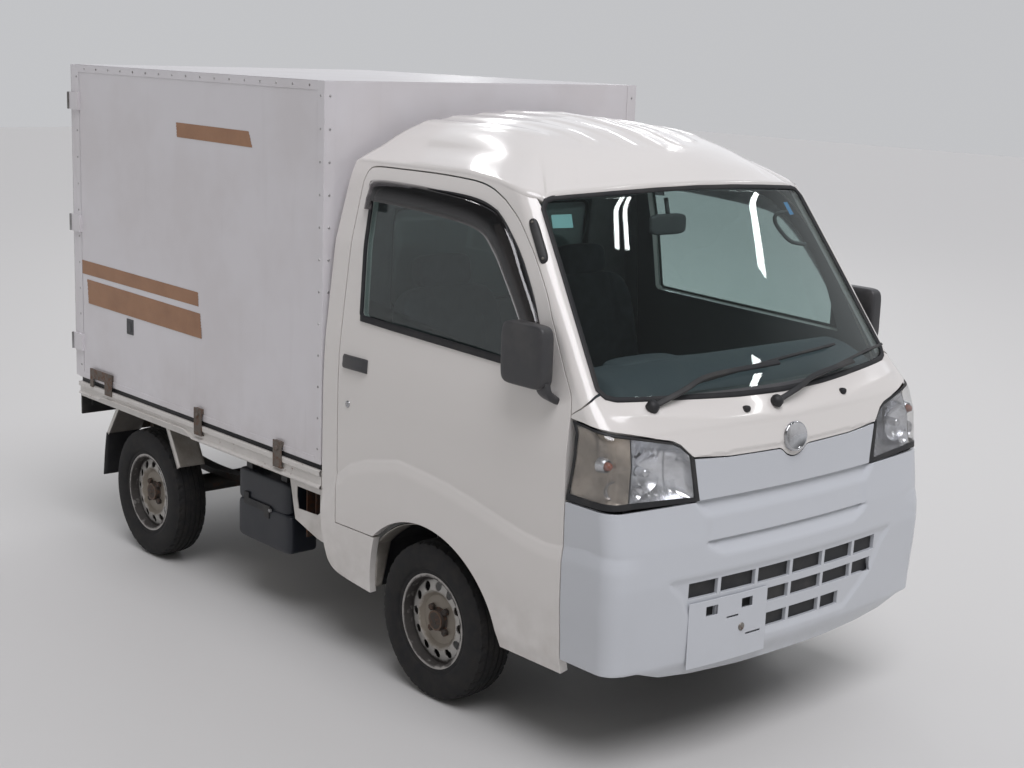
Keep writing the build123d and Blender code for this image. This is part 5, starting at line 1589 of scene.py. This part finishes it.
face = back["face"]
for hand in ("Right", "Left"):
    # drawn on the right
    body = "box_door_" + hand.lower()
    panel = [block(face, back["inner"], -734, -3, back["low"], back["high"])]
    piece("boxDoorPanel" + hand, onSide(hand, panel, "Right"), boxPaint, (body,), body=body,
          bevel=1.5, solid=True)
    rim = [block(face - 1.6, face + 1, *edges) for edges in (
        (-734, -706, 667, 1988), (-34, -4, 667, 1988), (-706, -34, 1958, 1988), (-706, -34, 667, 697))]
    piece("boxDoorRim" + hand, onSide(hand, rim, "Right"), aluminium, body=body,
          bevel=0.6, solid=True)
    seal = [block(face - 0.8, face + 1, *edges) for edges in (
        (-704, -36, 1954, 1957), (-704, -36, 698, 701), (-704, -701, 698, 1957), (-39, -36, 698, 1957))]
    piece("boxDoorSeal" + hand, onSide(hand, seal, "Right"), blackRubber, body=body,
          solid=True)
    x, y = back["rodX"], back["rodY"]
    bar = [rodPart(back["rod"], x, y, 674, 1981)]
    bar += [block(x - 6.5, face + 1, y - 24, y + 24, z - 24, z + 24) for z in back["keepers"]]
    bar += [block(x - 6, x + 6, y - 6, y + 26, z - 7, z + 7) for z in (682, 1973)]
    bar += [block(x - 7, face + 1, y - 15, y + 15, z - 12, z + 12) for z in (1010, 1180, 1460)]
    lever = sweep(through([(x - 1, y, 1096), (x - 1, y - 60, 1094), (x - 1, y - 150, 1088),
                           (x - 1, y - 236, 1084)], 16), roundedBar(5.5, 11, 4), up=(1, 0, 0))
    catch = [block(x - 5, face + 1, y - 232, y - 196, 1062, 1112),
             block(x - 7, x - 4, y - 240, y - 214, 1056, 1074)]
    piece("boxDoorLock" + hand, onSide(hand, bar + [lever] + catch, "Right"), galvanised,
          body=body, bevel=1.2, solid=True, sharp=35)
    bolt = [(0.1, face - 8), (5, face - 7.6), (6.5, face - 5.5), (6.5, face - 2)]
    leaves = []
    for z in back["hinges"]:
        leaves += [rodPart(6.0, face - 1, -747, z - 36, z + 36),
                   block(face - 3.5, face + 1.5, -747, -672, z - 30, z + 30)]
        leaves += [lathe(bolt, (0, boltY, z), "x", 14) for boltY in (-690, -716)]
    piece("boxDoorHinge" + hand, onSide(hand, leaves, "Right"), galvanised, body=body,
          bevel=0.8, solid=True, sharp=35)


def lampCell(y0, y1, x0, x1):
    # one window of the tail lamp: a slab whose face is bowed by 5 (1 - p^4)(1 - q^4)
    p, q = np.meshgrid(np.linspace(-1, 1, 20), np.linspace(-1, 1, 16))
    z0, z1 = back["lampZ"]
    y, z = (y0 + y1) / 2 + p * (y1 - y0) / 2, (z0 + z1) / 2 + q * (z1 - z0 - 12) / 2
    x = x1 - (x1 - x0) * (1 - p ** 8) * (1 - q ** 8)
    return surface(np.stack([x, y, z], -1), flip=True)


y0, y1 = back["lampY"]
z0, z1 = back["lampZ"]
x0, x1 = back["lampX"]
shell = [block(x1 - 8, x1 + 2, y0, y1, z0, z1), block(-1652, -1640, -688, -600, 530, 612)]
piece("tailHousing", bothSides(shell), blackPlastic, ("tail_lamps",), bevel=2,
      solid=True)
for name, share, material in (("tailRed", (0.03, 0.5), redLens), ("tailAmber", (0.51, 0.76), amberLens),
                              ("tailWhite", (0.77, 0.97), whiteLens)):
    a, b = (y0 + (y1 - y0) * k for k in share)
    piece(name, bothSides([lampCell(a, b, x0, x1 - 6)]), material, wall=2)
carrier = [block(-1668, -1665, -165, 165, 480, 620), block(-1676, -1660, -60, -30, 600, 622),
           block(-1676, -1660, 30, 60, 600, 622)]
piece("rearPlateCarrier", carrier, blackPlastic, bevel=1.5, solid=True)
print("rear done")

# cabin: seats, dashboard, steering wheel
seat = dict(left=330.0)


def cushion(centre, half, lean, power=0.42, channels=(-0.5, 0.5), cross=(), bolster=0.0, axis=2, rows=64,
            columns=128):
    # a superellipsoid with stitched channels and raised sides: its thickness along one axis is multiplied
    # by 1 + bolster |v|^4, less 0.10 exp(-((v - c) / 0.035)^2) for each channel c; then it leans back
    points, faces = pillow((0, 0, 0), half, power, rows, columns)
    across, along = points[:, 1] / half[1], points[:, 2 - axis] / half[2 - axis]
    inside = soften((1 - np.abs(along)) / 0.15) * soften((1 - np.abs(across)) / 0.1)
    factor = 1 + bolster * across ** 4
    for c in channels:
        factor = factor - 0.10 * np.exp(-((across - c) / 0.035) ** 2) * inside
    for c in cross:
        factor = factor - 0.08 * np.exp(-((along - c) / 0.03) ** 2) * inside * (np.abs(across) < 0.5)
    points[:, axis] *= factor
    c, s = math.cos(math.radians(lean)), math.sin(math.radians(lean))
    x, y, z = points.T
    return np.stack([x * c - z * s, y, x * s + z * c], -1) + np.array(centre, float), faces


for hand, sign in (("Left", 1), ("Right", -1)):
    y = sign * seat["left"]
    nodeName = "seat_" + hand.lower()
    base = cushion((705, y, 748), (255, 222, 62), 3, cross=(-0.35, 0.25), bolster=0.12)
    spine = cushion((392, y, 1045), (54, 218, 258), 14, cross=(-0.4, 0.2), bolster=0.25, axis=0)
    head = cushion((322, y, 1345), (40, 118, 60), 10, 0.5, (), axis=0, rows=40, columns=80)
    for name, part, fill in (("seatBase", base, 0.85), ("seatBack", spine, 0.8), ("headRest", head, 0.85)):
        made = piece(name + hand, [part], seatCloth, (nodeName,))
    posts = [rod((350, y + k * 46, 1260), (338, y + k * 46, 1310), 6) for k in (-1, 1)]
    piece("seatFrame" + hand, posts + [slab((470, y - 205, 662), (930, y + 205, 690))], blackPlastic,
          bevel=2)

dash = dict(half=640.0, profile=((1540, 1098), (1480, 1142), (1400, 1174), (1330, 1182), (1286, 1166),
                                 (1269, 1118), (1262, 1010), (1276, 960), (1308, 905), (1330, 868),
                                 (1372, 852), (1540, 852)))


def makeDash():
    # the side view carried across, its front swollen over the column: 26 exp(-((y + 330) / 170)^2)
    line = through(dash["profile"], 56)
    ys = np.linspace(-dash["half"], dash["half"], 66)
    swell = 26 * np.exp(-((ys + 330) / 170) ** 2)
    front = soften((1400 - line[:, 0]) / 140)
    front = front * soften((line[:, 1] - 880) / 60) * soften((1130 - line[:, 1]) / 60)
    x = line[None, :, 0] - swell[:, None] * front[None]
    z = line[None, :, 1] + 0.5 * swell[:, None] * soften((line[None, :, 1] - 1100) / 60)
    # the top falls to 1100 towards the doors
    z = z - np.maximum(z - 1100, 0) * soften((np.abs(ys) - 560) / 80)[:, None]
    hollow = soften((np.abs(ys - 330) - 210) / -18) * 24
    x = x + hollow[:, None] * (soften((line[:, 1] - 905) / 20) * soften((1060 - line[:, 1]) / 20))[None]
    return surface(np.stack([x, np.repeat(ys[:, None], len(line), 1), z], -1), flip=True)


piece("dashTop", [makeDash()], dashPlastic, ("dashboard",), wall=-3)
gauge = pillow((1322, -330, 1176), (54, 150, 26), 0.6)
piece("gaugeHood", [gauge], dashPlastic)
panel = [slab((1262, -70, 1000), (1274, 70, 1060)), slab((1270, -70, 925), (1290, 70, 985))]
piece("centreStack", panel, blackPlastic, bevel=3)
vents = [slab((1262, y - 45, 1020), (1276, y + 45, 1058)) for y in (-560, 560, 150)]
piece("airVents", vents, blackPlastic, bevel=4)

steering = dict(centre=(1060, -330, 1050), tilt=58.0, radius=180.0, grip=13.0)


def wheelPlace(points):
    # the wheel is made flat with its axis along z, then its axis is laid along the column
    angle = math.radians(90 - steering["tilt"])
    c, s = math.cos(angle), math.sin(angle)
    x, y, z = points[:, 0], points[:, 1], points[:, 2]
    return np.stack([x * c - z * s, y, x * s + z * c], -1) + np.array(steering["centre"], float)


def makeSteeringWheel():
    turn = np.linspace(0, 2 * np.pi, 96, endpoint=False)
    ring = np.stack([steering["radius"] * np.cos(turn), steering["radius"] * np.sin(turn), 0 * turn], -1)
    parts = [sweep(ring, circle(steering["grip"], 16), closed=True), pillow((0, 0, -28), (62, 78, 26), 0.6)]
    for degrees in (95, 265, 180):
        a = math.radians(degrees)
        reach = np.array([math.cos(a), math.sin(a), 0.0])
        path = np.array([reach * 50 + (0, 0, -30), reach * 110 + (0, 0, -22), reach * 176 + (0, 0, -2)])
        parts.append(sweep(through(path, 10), roundedBar(15, 6, 4), up=(0, 0, 1)))
    return [(wheelPlace(p), f) for p, f in parts]


piece("steeringRim", makeSteeringWheel(), blackPlastic, ("steering_wheel",),
      body="steering_wheel")
print("cabin done")

# materials of the nodes that stay in view
nodeMaterials = dict(
    cab_floor=greyPlastic, frame=frameSteel, engine=castIron, exhaust=exhaustMetal, propshaft=frameSteel,
    rear_axle=frameSteel, front_suspension=frameSteel, guards=blackPlastic, tanks=blackPlastic, bed=bedPaint,
    steering_column=blackPlastic, steering_wheel=blackPlastic, dashboard=dashPlastic, bumper=bumperShadedPaint,
    front_panel=white, headlamps=clearLens, cab_glass=screenGlass, tail_lamps=redLens,
    box_rear_frame=aluminium)
rules = (("rim_", wheelSilver), ("tyre_", tyreRubber), ("knuckle_", rustySteel), ("seat_", seatCloth),
         ("door_trim", handlePlastic), ("door_glass", sideGlass), ("door_", white), ("cab_", white),
         ("box_", boxPaint))
for name, thing in nodes.items():
    chosen = nodeMaterials.get(name) or next((m for start, m in rules if name.startswith(start)), greyPlastic)
    thing.data.materials.clear()
    thing.data.materials.append(chosen)

# camera, floor and light
camera = dict(place=(4775.78, -3896.73, 2123.26), yaw=138.7057, pitch=-11.668, roll=1.9779, focal=1634.31,
              width=1024)


def addCamera():
    yaw, pitch, roll = (math.radians(camera[k]) for k in ("yaw", "pitch", "roll"))
    ahead = np.array([math.cos(yaw) * math.cos(pitch), math.sin(yaw) * math.cos(pitch), math.sin(pitch)])
    right = np.array([math.sin(yaw), -math.cos(yaw), 0])
    up = np.cross(right, ahead)
    right, up = right * math.cos(roll) + up * math.sin(roll), up * math.cos(roll) - right * math.sin(roll)
    data = bpy.data.cameras.new("photoCamera")
    data.sensor_width, data.lens = 36.0, 36.0 * camera["focal"] / camera["width"]
    data.clip_start, data.clip_end = 0.05, 100
    thing = addObject("photoCamera", data)
    rows = np.eye(4)
    rows[:3, 0], rows[:3, 1], rows[:3, 2] = right, up, -ahead
    rows[:3, 3] = np.array(camera["place"]) * mm
    thing.matrix_world = Matrix(rows.tolist())
    bpy.context.scene.camera = thing


def addFloor():
    # a pale flat floor, 60 m across
    mesh = bpy.data.meshes.new("studioFloor")
    mesh.from_pydata([(-30, -30, 0), (30, -30, 0), (30, 30, 0), (-30, 30, 0)], [], [(0, 1, 2, 3)])
    concrete = newMaterial("pale studio floor", {"Roughness": 0.55, "Base Color": hexColour("#c9c8c6")})[0]
    mesh.materials.append(concrete)
    addObject("studioFloor", mesh)


def addTube(name, start, end, width, glow):
    # a lit tube under the ceiling from one (x, y) to another, in metres, facing down
    length = math.dist(start, end)
    data = bpy.data.lights.new(name, "AREA")
    data.shape, data.size, data.size_y = "RECTANGLE", width, length
    data.energy = glow * math.pi * width * length
    turn = math.atan2(end[1] - start[1], end[0] - start[0]) - math.pi / 2
    middle = ((start[0] + end[0]) / 2, (start[1] + end[1]) / 2, studio["tubeHeight"])
    addObject(name, data).matrix_world = Matrix.Translation(middle) @ Matrix.Rotation(turn, 4, "Z")


def addWorld():
    # an even surround for the truck's light; the camera, metal and glass see a pale hall with a darker ceiling
    world = bpy.data.worlds.new("studio")
    bpy.context.scene.world = world
    world.use_nodes = True
    tree = world.node_tree
    path = addNode(tree, "LightPath").node.outputs
    seen = path["Is Camera Ray"]
    for kind in ("Is Transmission Ray", "Is Glossy Ray"):
        seen = addNode(tree, "Math", {"operation": "MAXIMUM", 0: seen, 1: path[kind]})
    way = addNode(tree, "TexCoord", output="Generated")
    height = addNode(tree, "SeparateXYZ", {"Vector": way}, "Z")
    pale = addNode(tree, "MapRange", {"From Min": 0.18, "From Max": 0.55, "To Min": studio["white"],
                                      "To Max": studio["ceiling"], "Value": height})
    strength = addNode(tree, "Mix", {0: seen, 2: studio["fill"], 3: pale})
    background = tree.nodes["Background"]
    background.inputs["Color"].default_value = hexColour("#f4f5f8")
    tree.links.new(strength, background.inputs["Strength"])


def addSun(name, direction, strength, softness, colour):
    # direction points from the truck to the light
    data = bpy.data.lights.new(name, "SUN")
    data.energy, data.angle, data.color = strength, math.radians(softness), hexColour(colour)[:3]
    thing = addObject(name, data)
    thing.rotation_mode = "QUATERNION"
    thing.rotation_quaternion = Vector(direction).to_track_quat("Z", "Y")


studio = dict(
    fill=0.31, white=0.60, ceiling=0.12, tubeHeight=4.0,
    # ceiling tubes: from and to (x, y) in metres, width, brightness
    tubes=(((2.30, 1.16), (2.95, 0.98), 0.07, 14), ((2.31, 1.27), (2.97, 1.14), 0.07, 14),
           ((1.48, 4.80), (2.75, 4.38), 0.22, 14), ((3.68, 3.62), (4.66, 3.54), 0.24, 14),
           ((-9.0, 7.60), (-6.8, 5.50), 0.16, 12), ((-6.4, 5.05), (-4.2, 3.35), 0.14, 12),
           ((-3.9, 2.95), (-2.7, 1.60), 0.12, 12), ((-2.4, 1.10), (-1.0, -0.25), 0.12, 12),
           ((-7.3, 7.90), (-5.0, 6.20), 0.16, 12), ((-4.4, 5.70), (-2.6, 4.40), 0.14, 12),
           ((-2.1, 4.00), (-0.8, 3.30), 0.12, 12)))
addCamera()
addFloor()
addWorld()
addSun("keyLight", (0.62, -0.24, 1.28), 2.05, 40, "#fbfaff")
addSun("sideLight", (0.1, -1.0, 0.6), 0.10, 60, "#fff5ec")
addSun("backLight", (-0.6, 0.9, 0.9), 0.40, 60, "#f6f8ff")
for i, tube in enumerate(studio["tubes"]):
    addTube(f"tube{i}", *tube)
bpy.context.scene.view_settings.view_transform = "Standard"
print("stage done")
